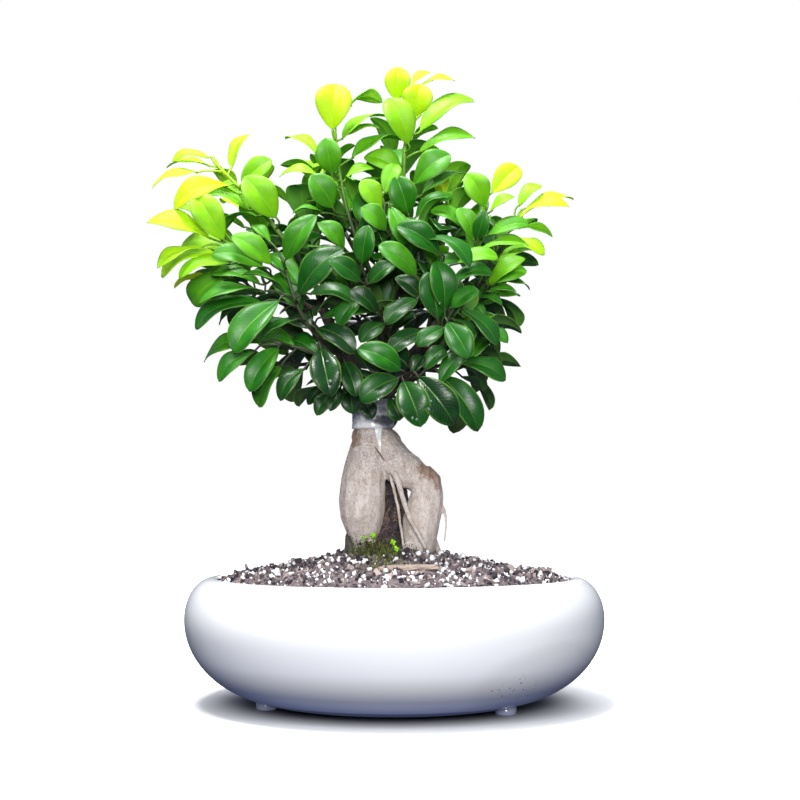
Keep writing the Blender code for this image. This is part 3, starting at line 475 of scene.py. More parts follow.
# Where each leaf grows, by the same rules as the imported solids

def along(points, distance):
    for a, b in zip(points, points[1:]):
        span = (b - a).length
        if distance <= span:
            break
        distance -= span
    else:
        distance = span
    return a.lerp(b, distance / span), (b - a).normalized()


def pathLength(points):
    return sum((b - a).length for a, b in zip(points, points[1:]))


def nearestOnPath(points, place):
    best = (1e9, 0.0)
    walked = 0.0
    for a, b in zip(points, points[1:]):
        span = (b - a).length
        part = max(0.0, min(1.0, (place - a).dot(b - a) / (span * span)))
        best = min(best, ((place - a.lerp(b, part)).length, walked + part * span))
        walked += span
    return best[1], best[0]


def across(vector, axis):
    rest = vector - axis * vector.dot(axis)
    return rest.normalized() if rest.length > 1e-4 else axis.orthogonal().normalized()


# Shoots seen from the front: name, stem points, then its front leaves as blade foot, blade tip,
# width and turn.
frontShoots = (
    ("leader_top", ((5, 4, 357), (7, -6, 413), (9, -6, 458), (15, 0, 501)), (
        ((2, -4, 492), (3, -12, 516), 24, 0),
        ((14, 4, 506), (29, 8, 520), 11, 35),
        ((21, 2, 505), (48, 6, 514), 10, 50),
        ((17, -10, 477), (21, -18, 500), 28, 0),
        ((11, -16, 452), (-4, -26, 485), 27, 10),
        ((4, -14, 472), (-40, -30, 458), 13, 55),
        ((21, -4, 466), (62, 4, 497), 18, 35),
        ((21, -8, 448), (63, -8, 462), 19, 40),
        ((16, -18, 418), (42, -28, 440), 24, 10),
        ((8, -14, 423), (-22, -20, 441), 21, 20),
        ((11, -20, 393), (2, -34, 419), 24, 0),
        ((17, -12, 392), (44, -16, 409), 18, 30),
        ((22, -2, 413), (55, 6, 435), 15, 45),
        ((25, -14, 386), (46, -20, 398), 16, 30),
    )),
    ("leader_left", ((-17, -12, 341), (-34, -26, 381), (-42, -30, 412), (-49, -26, 455)), (
        ((-50, -30, 460), (-48, -34, 495), 31, 0),
        ((-37, -14, 484), (-9, -6, 497), 12, 45),
        ((-44, -22, 454), (-15, -18, 467), 13, 50),
        ((-35, -26, 437), (3, -20, 460), 16, 45),
        ((-50, -38, 422), (-54, -52, 445), 22, 5),
        ((-44, -30, 416), (-19, -30, 429), 14, 40),
        ((-49, -40, 394), (-64, -54, 415), 24, 5),
        ((-57, -34, 416), (-90, -34, 423), 12, 50),
        ((-57, -38, 390), (-79, -46, 390), 12, 50),
        ((-61, -24, 439), (-87, -14, 459), 11, 45),
        ((-32, -34, 369), (-8, -44, 387), 19, 15),
        ((-40, -40, 362), (-58, -52, 378), 18, 15),
    )),
    ("left_high", ((-71, -14, 347), (-101, -22, 387), (-126, -24, 414), (-144, -22, 433)), (
        ((-151, -22, 439), (-179, -22, 439), 12, 40),
        ((-150, -18, 433), (-185, -10, 437), 10, 55),
        ((-158, -26, 426), (-193, -34, 415), 13, 45),
        ((-133, -18, 432), (-122, -12, 461), 12, 40),
        ((-123, -30, 415), (-101, -40, 432), 20, 5),
        ((-95, -34, 387), (-117, -48, 415), 29, 0),
        ((-133, -34, 413), (-172, -48, 395), 23, 20),
        ((-118, -18, 397), (-158, -10, 410), 16, 40),
    )),
    ("left_mid", ((-75, -30, 320), (-105, -36, 345), (-122, -38, 359), (-135, -40, 367)), (
        ((-135, -46, 367), (-156, -56, 400), 26, 0),
        ((-147, -42, 369), (-191, -52, 382), 18, 35),
        ((-156, -38, 388), (-173, -34, 395), 8, 40),
        ((-132, -28, 360), (-170, -18, 372), 16, 35),
        ((-152, -44, 361), (-185, -52, 347), 13, 45),
        ((-141, -36, 357), (-185, -34, 344), 16, 40),
        ((-130, -44, 348), (-167, -54, 339), 15, 40),
        ((-103, -52, 344), (-138, -66, 353), 19, 25),
        ((-107, -40, 333), (-143, -42, 342), 15, 40),
        ((-133, -34, 344), (-168, -30, 320), 17, 30),
    )),
    ("left_front", ((-48, -30, 279), (-68, -44, 299), (-79, -52, 321), (-86, -54, 345)), (
        ((-96, -60, 345), (-123, -72, 364), 21, 10),
        ((-85, -60, 348), (-63, -76, 378), 22, 5),
        ((-98, -50, 364), (-111, -46, 379), 9, 35),
        ((-74, -62, 320), (-43, -80, 352), 22, 10),
        ((-76, -44, 331), (-100, -34, 358), 17, 25),
        ((-101, -56, 324), (-149, -66, 317), 13, 55),
        ((-103, -52, 316), (-154, -54, 301), 16, 45),
        ((-89, -64, 316), (-122, -80, 279), 20, 20),
        ((-79, -56, 301), (-102, -64, 290), 13, 35),
        ((-67, -56, 322), (-32, -64, 317), 17, 35),
        ((-56, -52, 304), (-22, -62, 309), 17, 30),
        ((-61, -58, 295), (-32, -74, 278), 16, 20),
    )),
    ("left_low", ((-34, -24, 259), (-51, -38, 270), (-69, -48, 279), (-87, -52, 283)), (
        ((-104, -46, 285), (-148, -46, 274), 13, 40),
        ((-109, -54, 277), (-135, -62, 256), 15, 25),
        ((-90, -62, 279), (-110, -76, 248), 21, 10),
        ((-89, -48, 266), (-107, -46, 237), 16, 30),
        ((-70, -54, 264), (-88, -62, 241), 17, 25),
        ((-57, -66, 278), (-49, -84, 244), 26, 0),
        ((-39, -56, 269), (-30, -70, 244), 18, 10),
        ((-33, -46, 263), (-17, -52, 250), 13, 25),
    )),
    ("low_back_left", ((-33, -14, 252), (-45, -20, 256), (-56, -22, 259)), (
        ((-51, -18, 255), (-69, -22, 240), 14, 25),
        ((-48, -24, 250), (-61, -34, 231), 14, 15),
        ((-43, -30, 251), (-50, -42, 234), 13, 0),
        ((-36, -30, 251), (-33, -40, 233), 18, 0),
        ((-26, -26, 243), (-18, -34, 228), 14, 10),
    )),
    ("low_front", ((-5, -28, 246), (3, -46, 250), (10, -62, 257)), (
        ((5, -70, 261), (-25, -82, 276), 23, 5),
        ((3, -72, 255), (-24, -84, 239), 23, 10),
        ((7, -74, 252), (19, -88, 220), 27, 0),
        ((18, -74, 255), (43, -86, 223), 29, 0),
        ((13, -66, 258), (22, -62, 273), 12, 10),
        ((23, -62, 262), (38, -58, 279), 16, 15),
        ((35, -58, 252), (54, -52, 277), 16, 20),
        ((-4, -50, 241), (4, -54, 225), 16, 10),
    )),
    ("low_right", ((19, -34, 263), (33, -38, 267), (49, -34, 273)), (
        ((36, -52, 258), (64, -62, 219), 21, 15),
        ((50, -40, 271), (86, -44, 259), 18, 30),
        ((60, -26, 273), (76, -16, 292), 13, 30),
        ((53, -40, 280), (62, -44, 295), 14, 20),
    )),
    ("right_front", ((31, -40, 284), (37, -52, 295), (44, -58, 307)), (
        ((41, -70, 298), (55, -86, 272), 22, 0),
        ((38, -66, 294), (19, -76, 281), 16, 15),
        ((23, -62, 292), (-3, -74, 277), 17, 20),
        ((18, -62, 317), (-6, -74, 300), 17, 20),
        ((43, -60, 310), (63, -66, 324), 16, 20),
        ((45, -54, 303), (63, -52, 291), 9, 50),
        ((70, -42, 298), (89, -42, 286), 9, 45),
        ((53, -56, 310), (80, -58, 285), 14, 35),
    )),
    ("right_mid", ((28, -28, 303), (33, -40, 327), (36, -46, 348)), (
        ((35, -56, 354), (5, -70, 373), 23, 5),
        ((24, -60, 365), (57, -76, 345), 14, 45),
        ((17, -54, 337), (-9, -68, 358), 20, 10),
        ((49, -50, 347), (79, -54, 353), 14, 30),
        ((45, -46, 332), (75, -46, 342), 16, 30),
        ((23, -50, 317), (3, -60, 334), 17, 20),
    )),
    ("right_low_out", ((47, 6, 301), (67, 16, 323), (84, 20, 341)), (
        ((85, 22, 360), (122, 26, 371), 10, 50),
        ((79, 10, 340), (105, 2, 361), 16, 30),
        ((76, 16, 341), (107, 24, 353), 10, 50),
        ((78, 8, 334), (99, 4, 335), 10, 45),
        ((92, 26, 345), (114, 34, 342), 10, 45),
        ((70, 4, 328), (87, -4, 323), 11, 40),
        ((58, 0, 323), (73, -8, 312), 12, 30),
        ((62, 10, 312), (85, 8, 301), 14, 30),
    )),
    ("right_high", ((49, -22, 318), (59, -26, 341), (66, -28, 366), (74, -26, 395)), (
        ((73, -30, 397), (59, -40, 420), 23, 0),
        ((79, -22, 410), (100, -20, 432), 22, 0),
        ((77, -30, 393), (94, -34, 405), 12, 35),
        ((63, -38, 368), (52, -50, 390), 16, 15),
        ((66, -38, 369), (71, -48, 391), 13, 15),
        ((60, -32, 376), (32, -38, 393), 17, 30),
        ((74, -32, 373), (105, -36, 383), 16, 30),
        ((69, -34, 361), (104, -40, 366), 13, 45),
        ((58, -34, 350), (29, -42, 348), 16, 30),
    )),
    ("right_high_out", ((69, 18, 340), (88, 26, 375), (105, 30, 401)), (
        ((112, 32, 409), (150, 36, 421), 10, 50),
        ((106, 24, 400), (144, 16, 409), 11, 50),
        ((104, 26, 391), (132, 24, 386), 11, 45),
        ((106, 34, 412), (124, 40, 432), 14, 30),
        ((92, 20, 378), (124, 14, 370), 12, 40),
    )),
    ("centre_front", ((-5, -34, 292), (-16, -52, 317), (-24, -60, 339)), (
        ((-26, -70, 330), (-49, -84, 344), 17, 10),
        ((-25, -68, 344), (-21, -84, 368), 18, 5),
        ((-20, -64, 329), (-2, -72, 343), 17, 20),
        ((-14, -60, 307), (-32, -72, 322), 17, 20),
        ((-8, -58, 299), (-25, -70, 285), 17, 20),
        ((-25, -62, 319), (-41, -76, 301), 17, 20),
    )),
    ("centre_high", ((-4, -18, 348), (-5, -30, 372), (-8, -34, 395)), (
        ((-11, -40, 393), (-25, -50, 412), 19, 10),
        ((-4, -46, 393), (7, -58, 366), 17, 10),
        ((-7, -44, 375), (-25, -54, 391), 19, 15),
        ((-2, -40, 372), (20, -48, 379), 16, 30),
        ((-8, -30, 408), (1, -26, 433), 16, 25),
    )),
)

# Shoots at the sides, back and inside: name, stem points, number of leaves, blade length.
roundShoots = (
    ("back_high", ((-2, 34, 386), (0, 52, 422), (4, 60, 460)), 8, 47),
    ("back_high_left", ((-34, 34, 374), (-50, 54, 408), (-60, 62, 444)), 8, 47),
    ("back_high_right", ((22, 38, 374), (36, 58, 402), (42, 66, 434)), 7, 47),
    ("back_mid", ((2, 62, 342), (4, 88, 370), (6, 102, 402)), 8, 48),
    ("back_mid_left", ((-44, 54, 339), (-70, 80, 364), (-84, 92, 392)), 8, 48),
    ("back_mid_right", ((38, 52, 336), (60, 76, 358), (70, 86, 386)), 7, 48),
    ("left_back_high", ((-88, 28, 360), (-118, 40, 390), (-132, 44, 418)), 7, 45),
    ("left_back", ((-92, 46, 328), (-122, 64, 344), (-142, 72, 364)), 7, 46),
    ("left_out", ((-86, 8, 324), (-120, 12, 336), (-144, 12, 348)), 7, 46),
    ("back_low", ((4, 56, 298), (8, 88, 308), (10, 112, 322)), 7, 48),
    ("back_low_left", ((-48, 42, 294), (-74, 72, 304), (-90, 90, 316)), 7, 48),
    ("back_low_right", ((40, 42, 298), (62, 66, 310), (74, 82, 324)), 6, 48),
    ("right_back", ((62, 30, 326), (80, 46, 346), (90, 56, 372)), 7, 46),
    ("under_back", ((-10, 38, 270), (-14, 64, 271), (-16, 84, 275)), 6, 46),
    ("under_left", ((-50, 12, 278), (-78, 16, 274), (-98, 18, 276)), 6, 46),
    ("under_right", ((20, 10, 270), (44, 20, 269), (62, 28, 275)), 6, 46),
    ("inner_left", ((-60, 2, 342), (-70, 2, 372), (-76, 4, 402)), 8, 46),
    ("inner_right", ((30, 4, 342), (40, 6, 372), (46, 8, 404)), 8, 46),
    ("inner_front_low", ((-24, -20, 296), (-32, -32, 314), (-36, -38, 336)), 8, 46),
    ("inner_front_mid", ((-31, -2, 346), (-31, -8, 372), (-31, -8, 400)), 8, 46),
    ("inner_front_right", ((12, -8, 326), (15, -16, 352), (16, -20, 380)), 8, 46),
    ("inner_low_mid", ((-10, -8, 276), (-9, -18, 294), (-8, -24, 314)), 7, 46),
    ("inner_low_right", ((26, -4, 276), (40, -8, 288), (52, -10, 300)), 7, 46),
    ("inner_high", ((-10, 22, 336), (-14, 24, 358), (-16, 22, 384)), 7, 50),
    ("inner_mid_left", ((-38, 6, 292), (-42, 10, 310), (-42, 12, 332)), 7, 50),
    ("inner_mid_right", ((18, 26, 300), (20, 28, 318), (20, 28, 340)), 7, 50),
)

Leaf = namedtuple("Leaf", "attach foot tip normal width ribbed")

leafRules = {
    "halfThickness": 0.4,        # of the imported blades
    "matchWithin": 0.03,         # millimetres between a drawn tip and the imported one
    "tipReach": 1.06,
    "leastWidth": 0.52,          # over the length
    "ribbedWidth": 20.0,         # leaves at least this wide, turned at most this far, fold deeply
    "ribbedTurn": 25,
    "clearOfStem": 5.0,          # least distance from the stem to a blade
    "lowestStalk": 4.0,          # from the stem's foot
    "goldenAngle": math.radians(137.508),
    "alongStem": (0.22, 0.78),   # where grown leaves start, and over what share of the stem they go on
    "sizes": (0.88, 1.08),
    "smallerAtTip": 0.25,
    "spread": (78.0, 44.0),      # degrees from the stem at its foot, and how much less at its tip
    "stalk": 10.0,
    "hang": 0.35,
    "grownWidth": 0.62,          # over the length
    "rearLeaves": 3,             # on the far side of each front shoot: number, length, places, turns
    "rearLength": 38.0,
    "rearPlaces": (0.25, 0.22, 0.08),
    "rearTurns": (0.9, 2.2),
}
bladeLook = {
    "columns": 12,
    "rows": 16,
    "thickness": 0.5,
    "arch": (0.08, 0.17),        # height of the rib's arch over the length
    "fold": (14.0, 26.0),        # degrees that the halves of a wide leaf rise from the rib
    "flatFold": (8.0, 20.0),
    "rolled": 0.5,               # how far the margins curl back down
    "wave": 0.022,               # of the margin, over the length
    "twist": 0.45,
    "tipDroop": 0.09,
    "broadest": 1.38,            # over 1 sets the broadest part nearer the tip
    "fullness": 0.50,            # the lower, the fuller the blade's ends
    "rib": 0.55,                 # height of the rib under the blade
    "groove": 0.22,              # depth of the rib's groove above it
    "ribWidth": 0.8,
    "leastHalf": 0.35,           # half width at the very ends
    "edgeRise": 1.3,             # steepness of the fold by the rib
    "droopFrom": 0.6,            # share of the length where the tip starts to hang
    "waves": 1.4,                # along each margin
    "marginCrowding": 1.4,       # over 1 sets the sheet's columns nearer the rib
    "endCrowding": 0.65,         # share by which its rows draw in to both ends
    "stalkRadius": 0.85,
}
stemLook = {
    "sides": 10,
    "footRadius": 2.0,
    "tipRadius": 1.1,
    "bud": 8.0,                  # length of the pointed bud at the end
}


def frontLeaf(stem, foot, tip, width, turn):
    rules = leafRules
    foot, tip = Vector(foot), Vector(tip)
    tip = foot.lerp(tip, rules["tipReach"])
    axis = (tip - foot).normalized()
    facing = across(front + up * 0.2, axis)
    rising = axis.cross(facing)
    if rising.z < 0.0 or (abs(rising.z) < 0.25 and rising.x * foot.x < 0.0):
        rising.negate()
    normal = facing * math.cos(math.radians(turn)) + rising * math.sin(math.radians(turn))
    where, off = nearestOnPath(stem, foot)
    if off < rules["clearOfStem"]:
        foot = foot + axis * (rules["clearOfStem"] - off)
    attach = along(stem, max(rules["lowestStalk"], min(where - 0.5 * off, pathLength(stem) - 1.0)))[0]
    length = (tip - foot).length
    ribbed = width >= rules["ribbedWidth"] and turn <= rules["ribbedTurn"]
    return Leaf(attach, foot, tip, normal, max(width, rules["leastWidth"] * length), ribbed)


def grownLeaf(stem, part, azimuth, length):
    rules = leafRules
    attach, direction = along(stem, part * pathLength(stem))
    side = across(Vector((1.0, 0.2, 0.1)), direction)
    around = side * math.cos(azimuth) + direction.cross(side) * math.sin(azimuth)
    spread = math.radians(rules["spread"][0] - rules["spread"][1] * part)
    out = direction * math.cos(spread) + around * math.sin(spread)
    foot = attach + out * rules["stalk"]
    hang = (out - up * rules["hang"] * (1.0 - part)).normalized()
    normal = across(direction + up, hang)
    return Leaf(attach, foot, foot + hang * length, normal, length * rules["grownWidth"], False)


def turnedLeaf(leaf, swing, lift, roll, scale):
    axis = leaf.tip - leaf.foot
    hinge = across(Vector((0.0, 1.0, 0.0)).cross(axis.normalized()) + up * 0.01, axis.normalized())
    turn = Matrix.Rotation(math.radians(lift), 3, "Y") @ Matrix.Rotation(math.radians(swing), 3, hinge)
    axis = turn @ axis
    normal = Matrix.Rotation(math.radians(roll), 3, axis.normalized()) @ (turn @ leaf.normal)
    return leaf._replace(tip=leaf.foot + axis * scale, normal=normal, width=leaf.width * scale)


turnsToTry = [(swing, lift, roll, scale)
              for scale in (1.0, 0.88, 0.76)
              for swing in (0, 10, -10, 20, -20, 32, -32, 45, -45)
              for lift in (0, 8, -8, 18, -18)
              for roll in (0, 18, -18, 36, -36)]


def packedLeaf(leaf, corners):
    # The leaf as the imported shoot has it, which may be turned to clear its neighbours, or None.
    for turn in turnsToTry:
        tried = turnedLeaf(leaf, *turn)
        normal = across(tried.normal, (tried.tip - tried.foot).normalized())
        ends = [tried.tip + normal * leafRules["halfThickness"] * face for face in (1, -1)]
        if all(corners.find(end)[2] < leafRules["matchWithin"] for end in ends):
            return tried
    return None


def packedCorners(name):
    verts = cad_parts["shoot_" + name].data.vertices
    corners = KDTree(len(verts))
    for i, v in enumerate(verts):
        corners.insert(toMillimetres @ v.co, i)
    corners.balance()
    return corners


def layOutLeaves():
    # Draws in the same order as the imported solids, so that the same leaves come out.
    rules = leafRules
    stems = {name: [Vector(p) for p in points] for name, points, *_ in frontShoots + roundShoots}
    drawn = {name: [] for name in stems}
    for name, _, rows in frontShoots:
        drawn[name] += [frontLeaf(stems[name], *row) for row in rows]
    toss = random.Random(5071)
    for name, _, count, length in roundShoots:
        start = toss.uniform(0.0, math.tau)
        for i in range(count):
            part = rules["alongStem"][0] + rules["alongStem"][1] * (i + 0.5) / count
            size = length * toss.uniform(*rules["sizes"]) * (1.0 - rules["smallerAtTip"] * part * part)
            azimuth = start + rules["goldenAngle"] * i
            drawn[name].append(grownLeaf(stems[name], part, azimuth, size))
    for name, _, rows in frontShoots:
        for i in range(rules["rearLeaves"]):
            first, step, stray = rules["rearPlaces"]
            part = first + step * i + toss.uniform(-stray, stray)
            turn = toss.uniform(*rules["rearTurns"])
            drawn[name].append(grownLeaf(stems[name], part, turn, rules["rearLength"]))
    placed = {}
    for name, leaves in drawn.items():
        corners = packedCorners(name)
        found = [packedLeaf(leaf, corners) for leaf in leaves]
        placed[name] = [leaf for leaf in found if leaf]
    return stems, placed


# Leaf shapes

def makeBladeMaster():
    # A flat closed sheet, from -1 to 1 across and along, that every blade is bent from.
    bm = bmesh.new()
    bmesh.ops.create_grid(bm, x_segments=bladeLook["columns"], y_segments=bladeLook["rows"], size=1.0)
    bmesh.ops.solidify(bm, geom=bm.faces, thickness=1.0)
    return newMesh("blade master", bm)


bladeMaster = makeBladeMaster()
masterPlaces = np.array([v.co[:] for v in bladeMaster.vertices])
masterAcross = np.sign(masterPlaces[:, 0]) * np.abs(masterPlaces[:, 0]) ** bladeLook["marginCrowding"]
masterAlong = (masterPlaces[:, 1] + 1) / 2
masterDrawnIn = 0.5 - 0.5 * np.cos(np.pi * masterAlong)
masterAlong = (1 - bladeLook["endCrowding"]) * masterAlong + bladeLook["endCrowding"] * masterDrawnIn
masterTop = np.abs(masterPlaces[:, 2] - masterPlaces[:, 2].max()) < 0.5


def bladePlaces(leaf):
    # Bends the flat sheet into one leaf: arched, folded at the rib, waved and rolled at the margin.
    look = bladeLook
    axis = (leaf.tip - leaf.foot).normalized()
    length = (leaf.tip - leaf.foot).length
    normal = across(leaf.normal, axis)
    side = axis.cross(normal)
    s, q = masterAlong, masterAcross
    half = np.clip(np.sin(np.pi * np.clip(s, 0, 1) ** look["broadest"]), 0, 1) ** look["fullness"]
    reach = np.maximum(leaf.width / 2 * half, look["leastHalf"])
    fold = math.radians(draw.uniform(*(look["fold"] if leaf.ribbed else look["flatFold"])))
    twist, phase = draw.uniform(-look["twist"], look["twist"]), draw.random()
    off = np.abs(q)
    lift = draw.uniform(*look["arch"]) * 4 * length * s * (1 - s)
    hanging = np.clip((s - look["droopFrom"]) / (1 - look["droopFrom"]), 0, 1)
    lift -= look["tipDroop"] * length * hanging ** 2
    lift += reach * math.sin(fold) * look["edgeRise"] * (off - look["rolled"] * off ** 3)
    waved = np.sin(math.tau * (look["waves"] * s + phase + 0.25 * np.sign(q)))
    lift += look["wave"] * length * q * q * waved
    lift += twist * (s - 0.4) * q * reach
    thick = look["thickness"] / 2 * (1 - 0.5 * off ** 4)
    ribShape = np.exp(-(q * reach / look["ribWidth"]) ** 2) * (1 - 0.6 * s)
    lift += np.where(masterTop, thick - look["groove"] * ribShape, -thick - look["rib"] * ribShape)
    out = q * reach * math.cos(fold)
    spine = leaf.foot[:] + np.outer(s * length, axis)
    return np.clip(spine + np.outer(out, side) + np.outer(lift, normal), cornerLow, cornerHigh)


leafLayers = ("along", "side", "youth", "under")


def stampBlade(bm, leaf, youth):
    # Adds one blade to a shoot, with its own place in the leaf and its youth for the material.
    alongLayer, sideLayer, youthLayer, underLayer = (bm.verts.layers.float[n] for n in leafLayers)
    first = len(bm.verts)
    bm.from_mesh(bladeMaster)
    bm.verts.ensure_lookup_table()
    places = bladePlaces(leaf)
    for k in range(len(places)):
        v = bm.verts[first + k]
        v.co = places[k]
        v[alongLayer] = masterAlong[k]
        v[sideLayer] = masterAcross[k]
        v[youthLayer] = youth
        v[underLayer] = 0.0 if masterTop[k] else 1.0


def newShoot():
    bm = bmesh.new()
    for name in leafLayers:
        bm.verts.layers.float.new(name)
    return bm


youthRules = {
    "heart": (-15, 215),         # across and up, where the leaves are oldest
    "reach": (212, 298),         # from there to the new leaves
    "behind": 0.12,              # taken off at the back, beyond this place
    "behindFrom": 20,
    "least": 0.03,
    "span": 0.85,
    "alongStem": (0.50, 0.46),   # share of it at a stem's foot, and what it gains by the tip
    "atTip": 0.10,
    "chance": (-0.15, 0.07),
    "fresh": 0.24,               # share of the leaves that are fresher than their neighbours
    "fresher": (0.08, 0.24),
}


def youthAt(place):
    # 0 for old leaves low down inside the crown, 1 for new ones at its top and outer ends.
    s = youthRules
    (x, z), (width, height) = s["heart"], s["reach"]
    reach = ((place.x - x) / width) ** 2 + ((place.z - z) / height) ** 2
    reach -= s["behind"] * (place.y > s["behindFrom"])
    return max(0.0, min(1.0, (reach - s["least"]) / s["span"]))


def leafYouth(stem, leaf):
    s = youthRules
    there = youthAt(leaf.foot.lerp(leaf.tip, 0.6))
    grown = nearestOnPath(stem, leaf.attach)[0] / pathLength(stem)
    share, gain = s["alongStem"]
    youth = there * (share + gain * grown) + s["atTip"] * grown ** 2 + draw.uniform(*s["chance"])
    if draw.random() < s["fresh"]:
        youth += s["fresher"][0] + s["fresher"][1] * there
    return max(0.0, min(1.0, youth))


def growStem(bm, stem):
    tip = stem[-1] + (stem[-1] - stem[-2]).normalized() * stemLook["bud"]
    places = smoothPath([stem[0] - (stem[1] - stem[0]).normalized() * 2.0] + stem[1:], 5)
    part = [i / (len(places) - 1) for i in range(len(places))]
    radii = [stemLook["footRadius"] + (stemLook["tipRadius"] - stemLook["footRadius"]) * t for t in part]
    end = places[-1]
    places += [end.lerp(tip, 0.3), end.lerp(tip, 0.7), tip]
    radii += [stemLook["tipRadius"] * 1.1, stemLook["tipRadius"] * 0.75, 0.15]
    growTube(bm, places, radii, stemLook["sides"])


def growStalk(bm, leaf):
    axis = (leaf.tip - leaf.foot).normalized()
    bend = leaf.foot - axis * (leaf.foot - leaf.attach).length * 0.3
    r = bladeLook["stalkRadius"]
    path = smoothPath([leaf.attach, bend, leaf.foot + axis * 2.5], 3)
    growTube(bm, path, [r * 1.5] + [r] * 5 + [r * 0.8], 7)


def makeShoot(name, stem, leaves, paints):
    bm = newShoot()
    growStem(bm, stem)
    for leaf in leaves:
        growStalk(bm, leaf)
    youthLayer = bm.verts.layers.float["youth"]
    for v in bm.verts:
        v[youthLayer] = youthAt(v.co)
    for face in bm.faces:
        face.material_index = 1
    for leaf in leaves:
        stampBlade(bm, leaf, leafYouth(stem, leaf))
    bmesh.ops.recalc_face_normals(bm, faces=bm.faces)
    dress("leaves_" + name, bm, paints, ["shoot_" + name])


def makeLeafPaint():
    paint, tree, shader = newMaterial("leaf skin")
    place = objectPlace(tree)
    youth = carried(tree, "youth")
    alongLeaf = carried(tree, "along")
    off = calc(tree, "ABSOLUTE", carried(tree, "side"))
    under = carried(tree, "under")
    blotch = speckle(tree, place, 70.0, 4.0)
    uneven = calc(tree, "MULTIPLY", calc(tree, "SUBTRACT", blotch, 0.5), 0.35)
    age = calc(tree, "ADD", youth, uneven)
    skin = ramp(tree, age, (0.0, (0.002, 0.027, 0.005)), (0.25, (0.010, 0.138, 0.004)),
                (0.5, (0.080, 0.355, 0.002)), (0.75, (0.21, 0.56, 0.001)), (1.0, (0.46, 0.76, 0.001)))
    pale = mixed(tree, 0.3, skin, (0.22, 0.38, 0.10))
    ribWidth = calc(tree, "ADD", off, calc(tree, "MULTIPLY", alongLeaf, 0.03))
    rib = smoothStep(tree, ribWidth, 0.065, 0.015)
    lane = calc(tree, "SUBTRACT", calc(tree, "MULTIPLY", alongLeaf, 15.0), calc(tree, "MULTIPLY", off, 4.0))
    gap = calc(tree, "ABSOLUTE", calc(tree, "SUBTRACT", calc(tree, "FRACT", lane), 0.5))
    vein = smoothStep(tree, gap, 0.38, 0.5)
    line = calc(tree, "MAXIMUM", rib, calc(tree, "MULTIPLY", vein, 0.26))
    body = over(tree, skin, under, 0.8, pale)
    light = mixed(tree, 0.42, skin, (0.36, 0.62, 0.12))
    body = over(tree, body, line, 0.7, light)
    edge = smoothStep(tree, off, 0.86, 1.0)
    body = over(tree, body, edge, 0.75, light)
    # Painted light: the youngest leaves glow yellow-green, standing in for light shining through them.
    glow = ramp(tree, age, (0.5, (0, 0, 0)), (0.8, (0.05, 0.16, 0.0)), (1.0, (0.34, 0.48, 0.0)))
    tree.links.new(glow, shader.inputs["Emission Color"])
    shader.inputs["Emission Strength"].default_value = 0.24
    fine = speckle(tree, place, 900.0, 3.0)
    cloud = speckle(tree, place, 150.0, 5.0, 0.7)
    gloss = scaled(tree, cloud, 0.40, 0.13)
    dull = calc(tree, "ADD", gloss, calc(tree, "MULTIPLY", under, 0.22))
    dull = calc(tree, "ADD", dull, calc(tree, "MULTIPLY", youth, 0.28))
    height = calc(tree, "SUBTRACT", calc(tree, "MULTIPLY", fine, 0.3), calc(tree, "MULTIPLY", line, 0.8))
    height = calc(tree, "ADD", height, calc(tree, "MULTIPLY", cloud, 1.2))
    finished(tree, shader, body, dull, height, 0.35, 0.0006)
    shader.inputs["Specular IOR Level"].default_value = 0.42
    return paint


def makeStemPaint():
    paint, tree, shader = newMaterial("green stem")
    place = objectPlace(tree)
    youth = carried(tree, "youth")
    tone, height = grain(tree, place, (1, 1, 0.4), 300.0)
    age = calc(tree, "ADD", youth, calc(tree, "MULTIPLY", calc(tree, "SUBTRACT", tone, 0.5), 0.4))
    skin = ramp(tree, age, (0.0, (0.030, 0.026, 0.016)), (0.35, (0.035, 0.070, 0.014)),
                (0.7, (0.14, 0.34, 0.01)), (1.0, (0.45, 0.72, 0.01)))
    finished(tree, shader, skin, 0.5, height, 0.4, 0.0004)
    return paint


# Bowl, with its three feet and the net inside

bowlSettings = {
    "wall": 7.0,
    "widestHeight": 68.0,
    "rimHeight": 100.0,
    "rimCentreRadius": 146.0,    # of the arc that curves in to the rim
    "floorRadius": 90.0,         # of the flat underside
    "underside": 3.0,            # its height over the floor
    "drainRadius": 7.0,
    "footRadius": 8.0,
    "footCircle": 107.0,         # radius of the circle that the feet stand on
    "footAngles": (202.0, 322.0, 82.0),
    "turns": 128,                # divisions round the bowl
}


def arc(centre, width, height, start, end, steps):
    places = []
    for i in range(steps + 1):
        angle = math.radians(start + (end - start) * i / steps)
        places.append((centre[0] + width * math.cos(angle), centre[1] + height * math.sin(angle)))
    return places


def bowlFace(inset, steps):
    s = bowlSettings
    radius = (bowlHigh[0] - bowlLow[0]) / 2 / mm
    lower = arc((s["floorRadius"], s["widestHeight"]), radius - s["floorRadius"] - inset,
                s["widestHeight"] - s["underside"] - inset, -90, 0, steps)
    upper = arc((s["rimCentreRadius"], s["widestHeight"]), radius - s["rimCentreRadius"] - inset,
                s["rimHeight"] - s["widestHeight"] - inset, 0, 90, steps // 2)
    return lower + upper[1:]


def spinProfile(bm, profile, turns):
    # A closed ring of (radius, height) points turned round the upright axis.
    verts = [bm.verts.new((radius, 0, height)) for radius, height in profile]
    edges = [bm.edges.new((a, b)) for a, b in zip(verts, verts[1:] + verts[:1])]
    bmesh.ops.spin(bm, geom=verts + edges, cent=(0, 0, 0), axis=(0, 0, 1), angle=math.tau, steps=turns,
                   use_merge=True)
    bmesh.ops.recalc_face_normals(bm, faces=bm.faces)


